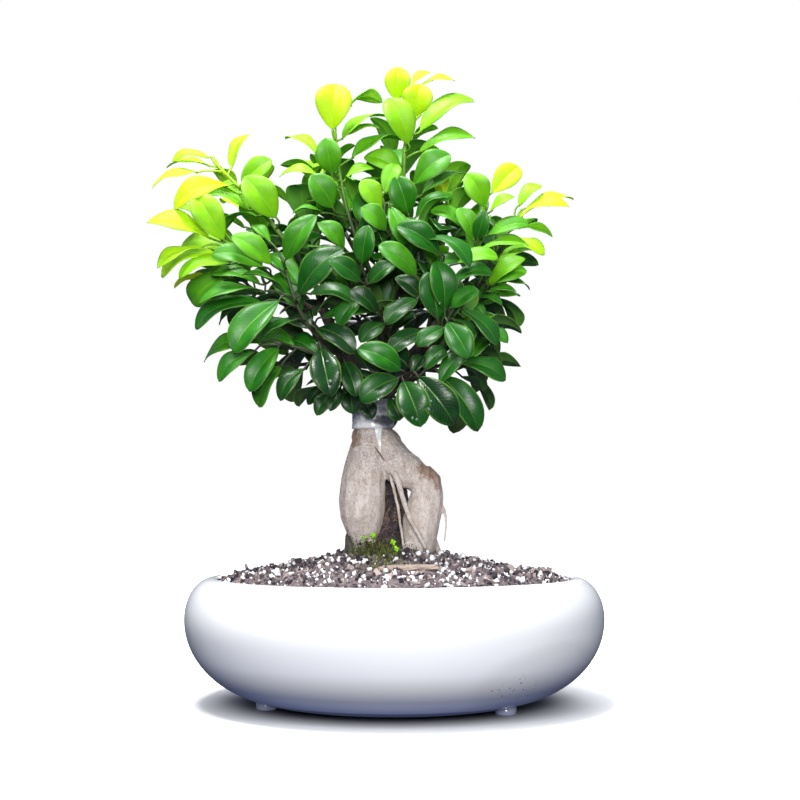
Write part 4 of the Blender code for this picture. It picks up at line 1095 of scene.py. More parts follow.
def makeBowl():
    s = bowlSettings
    bm = bmesh.new()
    wall = s["wall"]
    lip = arc((s["rimCentreRadius"], s["rimHeight"] - wall / 2), wall / 2, wall / 2, 100, 260, 8)
    profile = [(s["drainRadius"], s["underside"])] + bowlFace(0.0, 24) + lip + bowlFace(wall, 16)[::-1]
    profile.append((s["drainRadius"], s["underside"] + wall))
    spinProfile(bm, profile, s["turns"])
    for angle in s["footAngles"]:
        x, y = (s["footCircle"] * f(math.radians(angle)) for f in (math.cos, math.sin))
        growTube(bm, ((x, y, 0), (x, y, 0.5), (x, y, 1.3), (x, y, 7.9)),
                 (s["footRadius"] - 1.2, s["footRadius"] - 0.4, s["footRadius"], s["footRadius"]), 40)
    bmesh.ops.recalc_face_normals(bm, faces=bm.faces)
    dress("glazed_bowl", bm, [makeGlaze()], ["bowl"])


# Patches on the glaze, a painted reflection and a cluster of dirt specks: middle and half sizes in
# millimetres, then how ragged each is.
glazeReflectionAndSpecks = {
    "paintedReflection": ((118, -112, 30), (70, 60, 30), 0.2),
    "specks": ((92, -128, 26), (24, 34, 10), 0.8),
}


def makeGlaze():
    paint, tree, shader = newMaterial("white glaze")
    place = objectPlace(tree)
    cloud = speckle(tree, place, 9.0, 2.0)
    base = ramp(tree, cloud, (0.3, (0.86, 0.865, 0.88)), (0.7, (0.90, 0.90, 0.91)))
    height = put(tree, "ShaderNodeSeparateXYZ", {0: place}).outputs["Z"]
    # Painted shade and reflection: the glaze is darkest in a band about 15 to 25 mm up, and the pale blue
    # below it is a painted reflection from beneath.
    paintedShadeAndReflection = ramp(tree, calc(tree, "MULTIPLY", height, 25.0),
                (0.20, (0.95, 0.98, 1.0)), (0.34, (0.74, 0.77, 0.88)), (0.50, (0.56, 0.57, 0.63)),
                (0.72, (0.80, 0.79, 0.76)), (1.0, (1, 1, 1)))
    base = mixed(tree, 1.0, base, paintedShadeAndReflection, "MULTIPLY")
    # Painted shade: the feet and the underside, below about 9 mm, are coloured a dark bluish grey.
    paintedFootShade = smoothStep(tree, height, 0.0096, 0.0084)
    base = mixed(tree, paintedFootShade, base, (0.24, 0.26, 0.34))
    # Painted reflection: a faint brownish patch low on the front right of the wall.
    paintedReflection = smoothStep(tree, patch(tree, place, *glazeReflectionAndSpecks["paintedReflection"]), 0.0, 1.0)
    base = over(tree, base, paintedReflection, 0.15, (0.40, 0.34, 0.30))
    dirt = speckle(tree, place, 420.0, 3.0, 0.5)
    near = patch(tree, place, *glazeReflectionAndSpecks["specks"])
    dots = calc(tree, "MULTIPLY", smoothStep(tree, dirt, 0.64, 0.69), near)
    base = mixed(tree, dots, base, (0.10, 0.08, 0.07))
    rough = scaled(tree, cloud, 0.10, 0.12)
    shader.inputs["Coat Weight"].default_value = 0.3
    shader.inputs["Coat Roughness"].default_value = 0.06
    finished(tree, shader, base, rough, speckle(tree, place, 26.0, 2.0), 0.12, 0.002)
    return paint


def dressNet():
    paint, tree, shader = newMaterial("black net")
    place = objectPlace(tree)
    tone = speckle(tree, place, 400.0, 4.0)
    skin = ramp(tree, tone, (0.3, (0.012, 0.012, 0.013)), (0.7, (0.04, 0.04, 0.042)))
    finished(tree, shader, skin, scaled(tree, tone, 0.3, 0.45), tone, 0.2, 0.0002)
    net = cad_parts["drain_net"]
    net.data.materials.clear()
    net.data.materials.append(paint)


# Soil, with its perlite, bark crumbs, moss and sprouts

soilSettings = {
    "voxel": 1.9,
    "lump": 1.6,                 # height of the coarse relief, then of the fine one
    "crumb": 0.7,
    "topAbove": 86.0,            # the relief lies above this height and within this radius
    "reach": 147.0,
    "heaped": (102.0, 126.0, 3.6),   # radius where a heap begins, radius of its full height, height
    "grainRoughness": 0.16,
    "mossBed": (-14.0, -24.0, 20.0, 17.0),   # middle and half sizes
}


def makeSoilPaint():
    paint, tree, shader = newMaterial("potting mix")
    place = objectPlace(tree)
    tone, height = grain(tree, place, (1, 1, 1), 260.0)
    skin = ramp(tree, tone, (0.34, (0.030, 0.024, 0.032)), (0.46, (0.12, 0.095, 0.105)),
                (0.56, (0.26, 0.205, 0.205)), (0.68, (0.44, 0.36, 0.34)))
    peat = patch(tree, place, (0, 8, 156), (30, 36, 42), 0.4)
    skin = over(tree, skin, peat, 0.85, (0.020, 0.013, 0.011))
    mossBed = patch(tree, place, (-14, -24, 108), (24, 20, 16), 1.2)
    skin = over(tree, skin, mossBed, 0.8, (0.038, 0.034, 0.018))
    finished(tree, shader, skin, 0.95, height, 0.9, 0.0015)
    return paint


def makeSoil():
    s = soilSettings
    bm = remeshedCopy("soil", s["voxel"], 2)

    def height(place, normal):
        if place.z < s["topAbove"] or math.hypot(place.x, place.y) > s["reach"]:
            return 0.0
        level = max(0.0, normal.z)
        start, full, rise = s["heaped"]
        heap = rise * max(0.0, min(1.0, (math.hypot(place.x, place.y) - start) / (full - start))) * level
        rough = s["lump"] * ripple(place, 9.0) + s["crumb"] * ripple(place, 3.0)
        return heap + rough * (0.35 + 0.65 * level)

    swell(bm, height)
    tree = BVHTree.FromBMesh(bm)
    dress("potting_mix", bm, [makeSoilPaint()], ["soil"])
    return tree


def makeGrainMaster(rounded):
    # A cube, split once and half rounded for a grain of perlite.
    bm = bmesh.new()
    bmesh.ops.create_cube(bm, size=1.0)
    if rounded:
        bmesh.ops.subdivide_edges(bm, edges=bm.edges, cuts=1, use_grid_fill=True)
        for v in bm.verts:
            v.co = v.co.lerp(v.co.normalized() * 0.5, 0.7)
    return newMesh("grain master", bm)


def stampGrain(bm, master, place, size, stretch, tone):
    # A rough grain, stretched and turned at random.
    rough = soilSettings["grainRoughness"]
    turn = Euler([draw.uniform(0, math.tau) for _ in range(3)]).to_matrix().to_4x4()
    spot = Matrix.Translation(place) @ turn @ Matrix.Diagonal((*(size * k for k in stretch), 1))
    toneLayer = bm.verts.layers.float["tone"]
    first = len(bm.verts)
    bm.from_mesh(master)
    bm.verts.ensure_lookup_table()
    for v in bm.verts[first:]:
        v.co = spot @ (v.co + Vector([draw.uniform(-rough, rough) for _ in range(3)]))
        v[toneLayer] = tone


def dropOnto(tree, x, y):
    hit = tree.ray_cast(Vector((x, y, 400.0)), Vector((0, 0, -1)))
    return hit[0], hit[1]


def soilSpot(soilTree, caudexTree, reach):
    # A point of the open soil surface.
    while True:
        radius = reach * math.sqrt(draw.random())
        angle = draw.uniform(0, math.tau)
        x, y = radius * math.cos(angle), radius * math.sin(angle)
        if caudexTree.ray_cast(Vector((x, y, 216.0)), Vector((0, 0, -1)))[0]:
            continue
        place, normal = dropOnto(soilTree, x, y)
        if place:
            return place, normal


def mossy(place):
    # Whether a place lies in the moss bed, where few loose bits show.
    x, y, width, depth = soilSettings["mossBed"]
    return math.hypot((place.x - x) / width, (place.y - y) / depth) < 1.0 and draw.random() < 0.85


perliteSettings = {
    "number": 940,
    "reach": 141.0,
    "highest": 126.0,
    "sizes": (1.0, 1.3, 1.6, 2.0, 2.4, 3.0, 4.0),
    "stretch": (0.55, 1.3),
    "proud": 0.32,               # how far the middle stands above the soil, over the size
}


def makePerlite(soilTree, caudexTree):
    s = perliteSettings
    bm = bmesh.new()
    bm.verts.layers.float.new("tone")
    master = makeGrainMaster(True)
    for _ in range(s["number"]):
        place, normal = soilSpot(soilTree, caudexTree, s["reach"])
        size = draw.choice(s["sizes"])
        if place.z > s["highest"] or mossy(place):
            continue
        stretch = [draw.uniform(*s["stretch"]) for _ in range(3)]
        stampGrain(bm, master, place + normal * size * s["proud"], size, stretch, draw.random())
    paint, tree, shader = newMaterial("perlite")
    spot = objectPlace(tree)
    pore = speckle(tree, spot, 1400.0, 3.0)
    skin = ramp(tree, pore, (0.3, (0.72, 0.71, 0.72)), (0.5, (0.93, 0.93, 0.93)))
    finished(tree, shader, skin, 0.85, pore, 0.6, 0.0004)
    bmesh.ops.recalc_face_normals(bm, faces=bm.faces)
    dress("perlite_grains", bm, [paint])


crumbSettings = {
    "number": 3800,
    "reach": 143.0,
    "sizes": (0.9, 2.9),
    "bigShare": 0.10,
    "bigger": 1.8,
    "stretch": ((0.8, 2.0), (0.5, 1.1), (0.25, 0.6)),
    "proud": 0.16,
    "peatNumber": 420,           # more of them on the peat between the roots, front and back
    "peatColumns": (380, 414),   # pixels of the photograph
    "peatRows": (478, 560),
    "peatAbove": 112.0,
    "peatSizes": (1.0, 2.8),
    "peatStretch": ((0.8, 1.6), (0.5, 1.0), (0.3, 0.7)),
    "peatProud": 0.15,
    "peatTones": (0, 0.45),
    "twigs": 60,
    "twigReach": 138.0,
    "twigLengths": (6, 17),
    "twigRadii": (0.3, 0.5, 0.6, 0.55, 0.5, 0.4, 0.25),
    "twigTones": (0.7, 1.0),
}


def strewCrumbs(bm, master, soilTree, caudexTree):
    s = crumbSettings
    for _ in range(s["number"]):
        place, normal = soilSpot(soilTree, caudexTree, s["reach"])
        if mossy(place):
            continue
        size = draw.uniform(*s["sizes"]) * (s["bigger"] if draw.random() < s["bigShare"] else 1.0)
        stretch = [draw.uniform(*limits) for limits in s["stretch"]]
        stampGrain(bm, master, place + normal * size * s["proud"], size, stretch, draw.random())


def strewPeatCrumbs(bm, master, soilTree, caudexTree):
    s = crumbSettings
    for i in range(s["peatNumber"]):
        start, run = pixelRay(draw.uniform(*s["peatColumns"]), draw.uniform(*s["peatRows"]))
        if i % 3 == 0:
            start.y, run.y = -start.y, -run.y
        place, normal = nearestHit((soilTree, caudexTree), start, run)
        if place is None or soilTree.find_nearest(place)[3] > 0.1 or place.z < s["peatAbove"]:
            continue
        size = draw.uniform(*s["peatSizes"])
        stretch = [draw.uniform(*limits) for limits in s["peatStretch"]]
        spot = place + normal * size * s["peatProud"]
        stampGrain(bm, master, spot, size, stretch, draw.uniform(*s["peatTones"]))


def strewTwigs(bm, soilTree, caudexTree):
    s = crumbSettings
    tone = bm.verts.layers.float["tone"]
    for _ in range(s["twigs"]):
        place, normal = soilSpot(soilTree, caudexTree, s["twigReach"])
        length, angle = draw.uniform(*s["twigLengths"]), draw.uniform(0, math.tau)
        run = across(Vector((math.cos(angle), math.sin(angle), 0.15)), normal) * length
        lift = normal * 0.9
        path = smoothPath([place + lift, place + run * 0.5 + lift * 1.8, place + run + lift], 3)
        for v in growTube(bm, path, s["twigRadii"], 6):
            v[tone] = draw.uniform(*s["twigTones"])


def makeCrumbs(soilTree, caudexTree):
    bm = bmesh.new()
    bm.verts.layers.float.new("tone")
    master = makeGrainMaster(False)
    strewCrumbs(bm, master, soilTree, caudexTree)
    strewPeatCrumbs(bm, master, soilTree, caudexTree)
    strewTwigs(bm, soilTree, caudexTree)
    bmesh.ops.recalc_face_normals(bm, faces=bm.faces)
    paint, tree, shader = newMaterial("bark crumbs")
    spot = objectPlace(tree)
    shade = carried(tree, "tone")
    soft, height = grain(tree, spot, (1, 1, 1), 500.0)
    shade = calc(tree, "ADD", shade, calc(tree, "MULTIPLY", calc(tree, "SUBTRACT", soft, 0.5), 0.5))
    skin = ramp(tree, shade, (0.0, (0.016, 0.012, 0.020)), (0.35, (0.068, 0.051, 0.066)),
                (0.7, (0.20, 0.155, 0.165)), (1.0, (0.48, 0.39, 0.35)))
    finished(tree, shader, skin, 0.9, height, 0.7, 0.0008)
    dress("bark_crumbs", bm, [paint], smooth=False)


mossSettings = {
    "middle": (378, 553),        # of the front patch, in pixels of the photograph
    "spread": (13, 8),
    "number": 2300,
    "behind": 250,               # how many of them grow behind the roots
    "highest": 134.0,
    "lengths": (1.0, 3.8),
    "radii": (0.3, 0.6),
    "sprouts": ((364, 538), (373, 536), (377, 533), (393, 544), (396, 550)),   # pixels too
}


def makeMoss(soilTree, caudexTree):
    s = mossSettings
    bm = newShoot()
    youthLayer = bm.verts.layers.float["youth"]
    for i in range(s["number"]):
        if i < s["behind"]:
            angle, radius = draw.uniform(0, math.pi), draw.uniform(18, 46)
            place, normal = dropOnto(soilTree, radius * math.cos(angle), radius * math.sin(angle))
        else:
            column, row = (draw.gauss(s["middle"][k], s["spread"][k]) for k in (0, 1))
            place, normal = nearestHit((soilTree, caudexTree), *pixelRay(column, row))
        if place is None or place.z > s["highest"]:
            continue
        reach = draw.uniform(*s["lengths"])
        lean = (normal + up * 0.8 + Vector([draw.uniform(-0.6, 0.6) for _ in range(3)])).normalized()
        cone = bmesh.ops.create_cone(bm, cap_ends=True, segments=3, radius1=draw.uniform(*s["radii"]),
                                     radius2=0.05, depth=reach)["verts"]
        turn = lean.to_track_quat("Z", "Y").to_matrix().to_4x4()
        bmesh.ops.transform(bm, matrix=Matrix.Translation(place + lean * reach * 0.4) @ turn, verts=cone)
        youth = draw.uniform(0.05, 0.45) if draw.random() < 0.8 else draw.uniform(0.5, 0.9)
        for v in cone:
            v[youthLayer] = youth
    bmesh.ops.recalc_face_normals(bm, faces=bm.faces)
    paint, tree, shader = newMaterial("moss")
    youth = carried(tree, "youth")
    spot = objectPlace(tree)
    tone = calc(tree, "ADD", youth, calc(tree, "MULTIPLY", speckle(tree, spot, 200.0), 0.3))
    skin = ramp(tree, tone, (0.1, (0.014, 0.018, 0.008)), (0.4, (0.050, 0.056, 0.014)),
                (0.7, (0.115, 0.135, 0.02)), (1.0, (0.30, 0.38, 0.04)))
    tree.links.new(skin, shader.inputs["Base Color"])
    shader.inputs["Roughness"].default_value = 0.8
    dress("moss", bm, [paint])


def nearestHit(trees, start, direction):
    hits = [tree.ray_cast(start, direction) for tree in trees]
    hits = [h for h in hits if h[0]]
    if not hits:
        return None, None
    best = min(hits, key=lambda h: h[3])
    return best[0], best[1]


def makeSprouts(soilTree, caudexTree, paints):
    # Small rosettes on thin stalks, turned up and towards the front.
    bm = newShoot()
    youthLayer = bm.verts.layers.float["youth"]
    tops = []
    for column, row in mossSettings["sprouts"]:
        place, normal = nearestHit((soilTree, caudexTree), *pixelRay(column, row + 5))
        if place is None:
            continue
        lean = (normal * 0.5 + up).normalized()
        top = place + lean * draw.uniform(4.5, 6.0)
        for v in growTube(bm, (place - lean, place.lerp(top, 0.5), top), (0.35, 0.3, 0.25), 6):
            v[youthLayer] = 0.8
        tops.append(top)
    for face in bm.faces:
        face.material_index = 1
    for top in tops:
        facing = (up * 0.6 + front + Vector((draw.uniform(-0.4, 0.4), 0, 0))).normalized()
        side = across(Vector((1, 0, 0)), facing)
        rise = facing.cross(side)
        start, count = draw.uniform(0, math.tau), draw.choice((3, 4, 5))
        for i in range(count):
            angle = start + math.tau * i / count
            out = (side * math.cos(angle) + rise * math.sin(angle) + facing * 0.25).normalized()
            size = draw.uniform(1.9, 3.0)
            leaf = Leaf(top, top + out * 0.3, top + out * size, across(facing, out), size * 0.8, False)
            stampBlade(bm, leaf, draw.uniform(0.66, 0.9))
    bmesh.ops.recalc_face_normals(bm, faces=bm.faces)
    dress("sprouts", bm, paints)


fineRootSettings = {
    "number": 66,                # every third one behind
    "across": (-14, 13),         # where they start: across, at the front or behind, and how high
    "sides": (-3.0, 15.0),
    "heights": (118, 172),
    "steps": 9,
    "stray": (-5, 5),
    "drop": (-6, 1),
    "proud": (0.3, 1.5),
    "radii": (0.18, 0.42),
}


def makeFineRoots(soilTree):
    # Thin brown roots that creep down over the peat between the swollen roots.
    s = fineRootSettings
    bm = bmesh.new()
    for i in range(s["number"]):
        side = s["sides"][i % 3 == 2]
        start = Vector((draw.uniform(*s["across"]), side, draw.uniform(*s["heights"])))
        places = []
        for _ in range(s["steps"]):
            place, normal, _, _ = soilTree.find_nearest(start)
            places.append(place + normal * draw.uniform(*s["proud"]))
            start += Vector((draw.uniform(*s["stray"]), 0, draw.uniform(*s["drop"])))
        path = smoothPath(places, 3)
        thick = draw.uniform(*s["radii"])
        growTube(bm, path, [thick * (1 - 0.6 * k / len(path)) for k in range(len(path))], 6)
    bmesh.ops.recalc_face_normals(bm, faces=bm.faces)
    paint, tree, shader = newMaterial("fine roots")
    tone, height = grain(tree, objectPlace(tree), (1, 1, 0.5), 200.0)
    skin = ramp(tree, tone, (0.3, (0.08, 0.045, 0.032)), (0.55, (0.25, 0.155, 0.11)),
                (0.8, (0.46, 0.33, 0.25)))
    finished(tree, shader, skin, 0.85, height, 0.5, 0.0004)
    dress("fine_roots", bm, [paint])


def makeChip():
    bm = remeshedCopy("bark_chip", 0.55, 3)
    swell(bm, lambda place, normal: 0.35 * ripple(Vector((place.x * 0.25, place.y, place.z)), 1.6))
    paint, tree, shader = newMaterial("bark chip")
    tone, height = grain(tree, objectPlace(tree), (0.2, 1, 1), 420.0)
    skin = ramp(tree, tone, (0.35, (0.16, 0.11, 0.09)), (0.5, (0.38, 0.29, 0.24)),
                (0.68, (0.58, 0.47, 0.40)))
    finished(tree, shader, skin, 0.85, height, 0.7, 0.0008)
    dress("flat_bark_chip", bm, [paint], ["bark_chip"])


# Swollen roots

caudexLook = {
    "voxel": 0.85,
    "rounds": 6,                 # of smoothing
    "collar": (215.5, 5.0, 1.5),     # height of the swelling under the tape, its reach and its bulge
    "wrinkle": 0.22,             # depth of the fine rings round the neck
    "dimple": 0.5,               # height of the broad unevenness
    "strandSides": 14,
}
# Thin aerial roots that the even mesh is too coarse for: x, y, z and radius along each.
rootStrands = (
    ((-4.5, -10, 188, 1.6), (-1.5, -14, 184.5, 2.1), (1.8, -17.8, 178.5, 2.1), (5.8, -20, 165.8, 2.0),
     (11.1, -20.5, 149.7, 1.9), (16.5, -20.6, 139.3, 1.7), (23, -17.5, 127, 1.5), (28, -11, 116, 1.4),
     (29.5, -10, 104, 1.2)),
    ((-3.5, -10, 182, 1.2), (-0.8, -16, 171, 1.15), (2.2, -18.4, 158, 1.05), (4.8, -19.6, 141.7, 1.0),
     (7.6, -18.0, 122, 1.1), (8, -15, 106, 1.2)),
    ((34, -4, 162, 1.4), (39.5, -6, 155, 1.2), (41.5, -7, 146, 1.0), (41.2, -8, 136, 0.8),
     (40.5, -8, 129, 0.6)),
)


# Marks on the bark: middle and half sizes in millimetres, then how ragged each is.
barkMarks = {
    "shoulder": ((31, -6, 186), (14, 24, 8), 2.4),
    "rust": ((36, -4, 178), (6, 24, 10), 2.4),
    "neck": ((-32, -9, 212), (5, 14, 8), 2.6),
    "crack": ((-12, -15, 199), (0.75, 14, 7.5), 0.4),
    "wet": ((0, 0, 106), (70, 60, 17), 1.6),
    "lump": ((-37, 4, 122), (5, 12, 14), 0.8),
    "mossFoot": ((-16, -14, 114), (21, 16, 14), 1.6),
}
crackTurn = 0.6


def makeFigBark():
    paint, tree, shader = newMaterial("fig bark")
    place = objectPlace(tree)
    tone, height = grain(tree, place, (1, 1, 0.5), 210.0)
    skin = ramp(tree, tone, (0.34, (0.42, 0.33, 0.275)), (0.44, (0.61, 0.52, 0.465)),
                (0.53, (0.735, 0.655, 0.61)), (0.68, (0.84, 0.77, 0.73)))
    broad = speckle(tree, place, 40.0, 3.0)
    skin = over(tree, skin, smoothStep(tree, broad, 0.5, 0.68), 0.35, (0.56, 0.46, 0.40))
    flecks = speckle(tree, place, 620.0, 5.0, 0.8, (1, 1, 0.55))
    skin = over(tree, skin, smoothStep(tree, flecks, 0.53, 0.64), 0.66, (0.27, 0.17, 0.12))
    high = put(tree, "ShaderNodeSeparateXYZ", {0: place}).outputs["Z"]
    nearNeck = smoothStep(tree, high, 0.172, 0.200)
    warped = put(tree, "ShaderNodeVectorMath", {0: put(tree, "ShaderNodeTexNoise", {"Vector": place,
                 "Scale": 200.0}).outputs["Color"], 3: 0.006}, operation="SCALE").outputs[0]
    bent = put(tree, "ShaderNodeVectorMath", {0: place, 1: warped}, operation="ADD").outputs[0]
    cells = put(tree, "ShaderNodeMapping", {"Vector": bent, "Scale": (0.7, 0.7, 1.9)}).outputs[0]
    rim = put(tree, "ShaderNodeTexVoronoi", {"Vector": cells, "Scale": 260.0},
              feature="DISTANCE_TO_EDGE").outputs["Distance"]
    cracks = calc(tree, "MULTIPLY", smoothStep(tree, rim, 0.09, 0.01), nearNeck)
    skin = over(tree, skin, cracks, 0.42, (0.34, 0.23, 0.17))
    threads = speckle(tree, place, 900.0, 4.0, 0.7, (1, 1, 0.16))
    skin = over(tree, skin, smoothStep(tree, threads, 0.52, 0.64), 0.34, (0.38, 0.26, 0.20))
    hub = toFrame @ Vector(barkMarks["crack"][0])
    slant = put(tree, "ShaderNodeVectorRotate", {"Vector": place, "Center": hub, "Axis": (0, 1, 0),
                                                 "Angle": crackTurn}).outputs[0]
    crack = patch(tree, slant, *barkMarks["crack"])
    names = ("shoulder", "rust", "neck", "wet", "lump", "mossFoot")
    shoulder, rust, neckPatch, wet, lump, mossFoot = (patch(tree, place, *barkMarks[k]) for k in names)
    worn = calc(tree, "MAXIMUM", shoulder, calc(tree, "MULTIPLY", neckPatch, 0.9))
    worn = calc(tree, "MAXIMUM", worn, calc(tree, "MULTIPLY", rust, 0.8))
    brown = ramp(tree, tone, (0.38, (0.16, 0.085, 0.055)), (0.6, (0.42, 0.27, 0.19)))
    skin = over(tree, skin, worn, 0.9, brown)
    skin = over(tree, skin, crack, 0.9, (0.09, 0.05, 0.035))
    skin = over(tree, skin, wet, 0.7, (0.20, 0.14, 0.09))
    skin = over(tree, skin, lump, 0.9, (0.035, 0.035, 0.022))
    skin = over(tree, skin, mossFoot, 0.85, (0.06, 0.055, 0.022))
    relief = calc(tree, "SUBTRACT", height, calc(tree, "MULTIPLY", cracks, 0.6))
    relief = calc(tree, "SUBTRACT", relief, calc(tree, "MULTIPLY", flecks, 0.8))
    finished(tree, shader, skin, scaled(tree, tone, 0.25, 0.55), relief, 0.9, 0.0010)
    return paint


def makeCaudex():
    s = caudexLook
    bm = remeshedCopy("caudex", s["voxel"], s["rounds"])

    def height(place, normal):
        soft = s["dimple"] * ripple(place, 14.0, 2)
        ring = 0.5 + 0.5 * math.sin(place.z * 1.15 + 2.5 * ripple(place, 9.0, 2))
        ringed = s["wrinkle"] * ring * max(0.0, min(1.0, (place.z - 168) / 40))
        middle, reach, bulge = s["collar"]
        collar = bulge * max(0.0, 1.0 - ((place.z - middle) / reach) ** 2)
        fibre = 0.12 * ripple(Vector((place.x, place.y, place.z * 0.4)), 1.4, 2)
        return soft - ringed + collar + fibre

    swell(bm, height)
    for strand in rootStrands:
        path = smoothPath([point[:3] for point in strand], 6)
        bends = [ripple(place, 7.0, 2) * 0.5 for place in path]
        path = [place + Vector((bend, 0, 0)) for place, bend in zip(path, bends)]
        spots = [i / 6 for i in range(len(path))]
        radii = np.interp(spots, range(len(strand)), [point[3] for point in strand])
        growTube(bm, path, [r * (1 + 0.25 * b) for r, b in zip(radii, bends)], s["strandSides"])
    bmesh.ops.recalc_face_normals(bm, faces=bm.faces)
    tree = BVHTree.FromBMesh(bm)
    dress("swollen_roots", bm, [makeFigBark()], ["caudex"])
    return tree


# Grafting tape

tapeLook = {
    "axis": -17.5,               # across from the bowl's axis
    "low": 220.2,
    "high": 244.3,
    "inner": 15.6,
    "outer": 16.9,
    "turns": 4,
    "step": 0.35,                # how far each lap stands out from the one below
    "tailFrom": (374, 424),      # the loose tail in pixels: its top corners, its bend and its end
    "tailTo": (381, 424),
    "tailMiddle": (378.5, 437),
    "tailEnd": (380.5, 449),
    "tailWidths": (5.5, 0.8),    # at the bend and at the end
}


def tailSpot(across01, down):
    # Pixel of a point of the loose tail, which bends once on its way down.
    s = tapeLook
    top = Vector(s["tailFrom"]).lerp(Vector(s["tailTo"]), across01)
    middle, end = (Vector(s[key]) + Vector(((across01 - 0.5) * width, 0))
                   for key, width in zip(("tailMiddle", "tailEnd"), s["tailWidths"]))
    return top.lerp(middle, down * 2) if down < 0.5 else middle.lerp(end, down * 2 - 1)


def windLaps(bm):
    s = tapeLook
    lap = (s["high"] - s["low"]) / s["turns"]
    profile = [(s["inner"], s["low"])]
    for i in range(s["turns"]):
        low = s["low"] + lap * i
        profile += [(s["outer"] + s["step"], low + 0.05), (s["outer"] + s["step"] * 0.9, low + lap * 0.35),
                    (s["outer"] + s["step"] * 0.45, low + lap * 0.7), (s["outer"], low + lap * 0.96)]
    profile.append((s["inner"], s["high"]))
    spinProfile(bm, profile, 96)
    for v in bm.verts:
        angle = math.atan2(v.co.y, v.co.x)
        radius = math.hypot(v.co.x, v.co.y)
        outside = radius > s["inner"] + 0.5
        crease = 0.45 * ripple(Vector((v.co.x, v.co.y, v.co.z * 2.0)), 9.0) if outside else 0.0
        v.co.z += 1.2 * math.sin(angle + 0.6) * (1.0 if outside else 0.5)
        v.co.x = v.co.x * (1 + crease / radius) + s["axis"]
        v.co.y *= 1 + crease / radius


def hangTail(bm, caudexTree):
    # The loose end lies on the roots below the laps.
    tail = bmesh.ops.create_grid(bm, x_segments=6, y_segments=24, size=1.0)["verts"]
    for v in tail:
        down = (1 - v.co.y) / 2
        column, row = tailSpot((v.co.x + 1) / 2, down)
        place, normal = nearestHit((caudexTree,), *pixelRay(column, row))
        if place is None:
            place, normal, _, _ = caudexTree.find_nearest(Vector((-17, -16, 216)))
        v.co = place + normal * (0.5 + 0.7 * (1 - down) + 0.2 * math.sin(6 * v.co.x + 9 * down))
    faces = list({f for v in tail for f in v.link_faces})
    bmesh.ops.recalc_face_normals(bm, faces=faces)
    bmesh.ops.solidify(bm, geom=faces, thickness=0.15)


# A painted shadow, a painted highlight and the paler loose end on the film, given like the marks on the
# bark.
filmLightAndTail = {
    "shade": ((-8, -14, 226), (11, 14, 4), 1.8),
    "gleam": ((-22, -15, 233), (6, 12, 13), 1.4),
    "loose": ((-13, -16, 212), (7, 14, 9), 0.1),
}


def makeFilmPaint():
    paint, tree, shader = newMaterial("silvery film")
    place = objectPlace(tree)
    streak = speckle(tree, place, 55.0, 4.0, 0.6, (1.6, 1.6, 1.6))
    fine = speckle(tree, place, 260.0, 4.0, 0.6, (0.5, 0.5, 2.0))
    tone = calc(tree, "ADD", calc(tree, "MULTIPLY", streak, 0.75), calc(tree, "MULTIPLY", fine, 0.25))
    skin = ramp(tree, tone, (0.36, (0.22, 0.23, 0.25)), (0.45, (0.42, 0.43, 0.45)),
                (0.54, (0.68, 0.68, 0.69)), (0.66, (0.88, 0.89, 0.90)))
    shade, gleam, loose = (patch(tree, place, *filmLightAndTail[name]) for name in ("shade", "gleam", "loose"))
    # Painted shadow low on the right of the laps, painted highlight on their left, then the paler loose
    # end.
    skin = over(tree, skin, shade, 0.85, (0.05, 0.055, 0.07))
    skin = over(tree, skin, gleam, 0.8, (0.93, 0.93, 0.93))
    skin = over(tree, skin, loose, 0.9, (0.78, 0.78, 0.77))
    shader.inputs["Coat Weight"].default_value = 0.3
    finished(tree, shader, skin, scaled(tree, fine, 0.3, 0.15), fine, 0.4, 0.0006)
    return paint


def makeTape(caudexTree):
    bm = bmesh.new()
    windLaps(bm)
    hangTail(bm, caudexTree)
    bmesh.ops.recalc_face_normals(bm, faces=bm.faces)
    dress("tape_laps", bm, [makeFilmPaint()], ["graft_tape"])


# Woody branches

# Pruned ends: middle and half sizes, how ragged each is, and its colour.
prunedEnds = (
    ((5, -43, 271), (6.5, 4.5, 6), 0.3, (0.55, 0.53, 0.50)),
    ((43, -46, 317), (5, 4.5, 5), 0.3, (0.50, 0.36, 0.22)),
)


def makeBranches():
    bm = remeshedCopy("branches", 0.9, 4)
    swell(bm, lambda place, normal: 0.35 + 0.3 * ripple(Vector((place.x, place.y, place.z * 0.5)), 4.0))
    paint, tree, shader = newMaterial("young bark")
    place = objectPlace(tree)
    tone, height = grain(tree, place, (1, 1, 0.5), 240.0)
    skin = ramp(tree, tone, (0.3, (0.022, 0.018, 0.014)), (0.5, (0.060, 0.048, 0.036)),
                (0.7, (0.13, 0.105, 0.08)))
    pores = smoothStep(tree, speckle(tree, place, 520.0, 2.0), 0.62, 0.70)
    skin = over(tree, skin, pores, 0.4, (0.24, 0.20, 0.16))
    for middle, size, ragged, colour in prunedEnds:
        skin = mixed(tree, patch(tree, place, middle, size, ragged), skin, colour)
    finished(tree, shader, skin, 0.8, height, 0.7, 0.0010)
    dress("woody_branches", bm, [paint], ["branches"])


# Water drops on the lower leaves

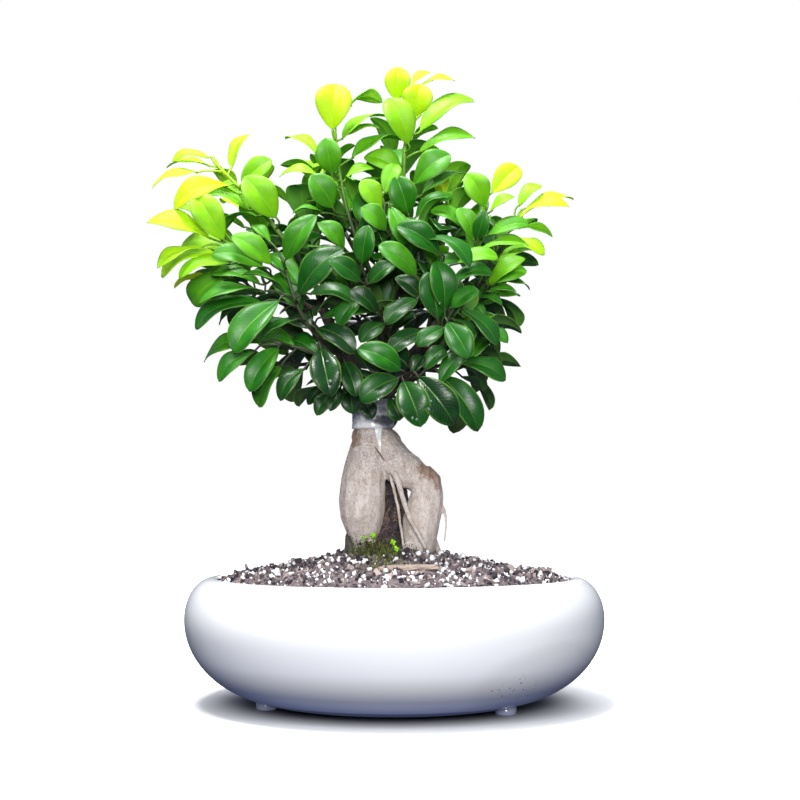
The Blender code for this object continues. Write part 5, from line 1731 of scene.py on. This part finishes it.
# Pixels of the photograph where each drop sits.
dropSpots = ((327, 361), (329.6, 387), (378, 399.5), (412.5, 418), (416.7, 419.5), (431, 401), (462, 309),
             (440, 302), (334, 356), (330, 381))


def makeDrops(leafTree):
    bm = bmesh.new()
    for column, row in dropSpots:
        hit = leafTree.ray_cast(*pixelRay(column, row))
        if hit[0] is None:
            continue
        turn = hit[1].to_track_quat("Z", "Y").to_matrix().to_4x4()
        size = draw.uniform(0.9, 1.4)
        spot = Matrix.Translation(hit[0]) @ turn @ Matrix.Diagonal((size, size, size * 0.6, 1))
        bmesh.ops.create_uvsphere(bm, u_segments=12, v_segments=8, radius=1.0, matrix=spot)
    paint, tree, shader = newMaterial("water")
    shader.inputs["Base Color"].default_value = (0.9, 0.95, 1.0, 1)
    shader.inputs["Roughness"].default_value = 0.03
    shader.inputs["IOR"].default_value = 1.33
    shader.inputs["Transmission Weight"].default_value = 0.85
    dress("water_drops", bm, [paint])


# The whole plant

makeCamera()
makeStudio()
print("camera, light and floor are set")
makeBowl()
dressNet()
print("bowl is glazed")
soilSolid = makeSoil()
caudexSolid = makeCaudex()
makeTape(caudexSolid)
makeChip()
print("roots, tape and soil are shaped")
makePerlite(soilSolid, caudexSolid)
makeCrumbs(soilSolid, caudexSolid)
makeFineRoots(soilSolid)
makeMoss(soilSolid, caudexSolid)
makeBranches()
print("soil is strewn and the branches are shaped")
leafPaints = [makeLeafPaint(), makeStemPaint()]
makeSprouts(soilSolid, caudexSolid, leafPaints)
stemPaths, leavesOf = layOutLeaves()
for shootName, shootLeaves in leavesOf.items():
    makeShoot(shootName, stemPaths[shootName], shootLeaves, leafPaints)
print(sum(len(leaves) for leaves in leavesOf.values()), "leaves are grown")


def crownTree():
    bm = bmesh.new()
    for name in leavesOf:
        bm.from_mesh(bpy.data.objects["leaves_" + name].data)
    bmesh.ops.transform(bm, matrix=toMillimetres, verts=bm.verts)
    tree = BVHTree.FromBMesh(bm)
    bm.free()
    return tree


makeDrops(crownTree())
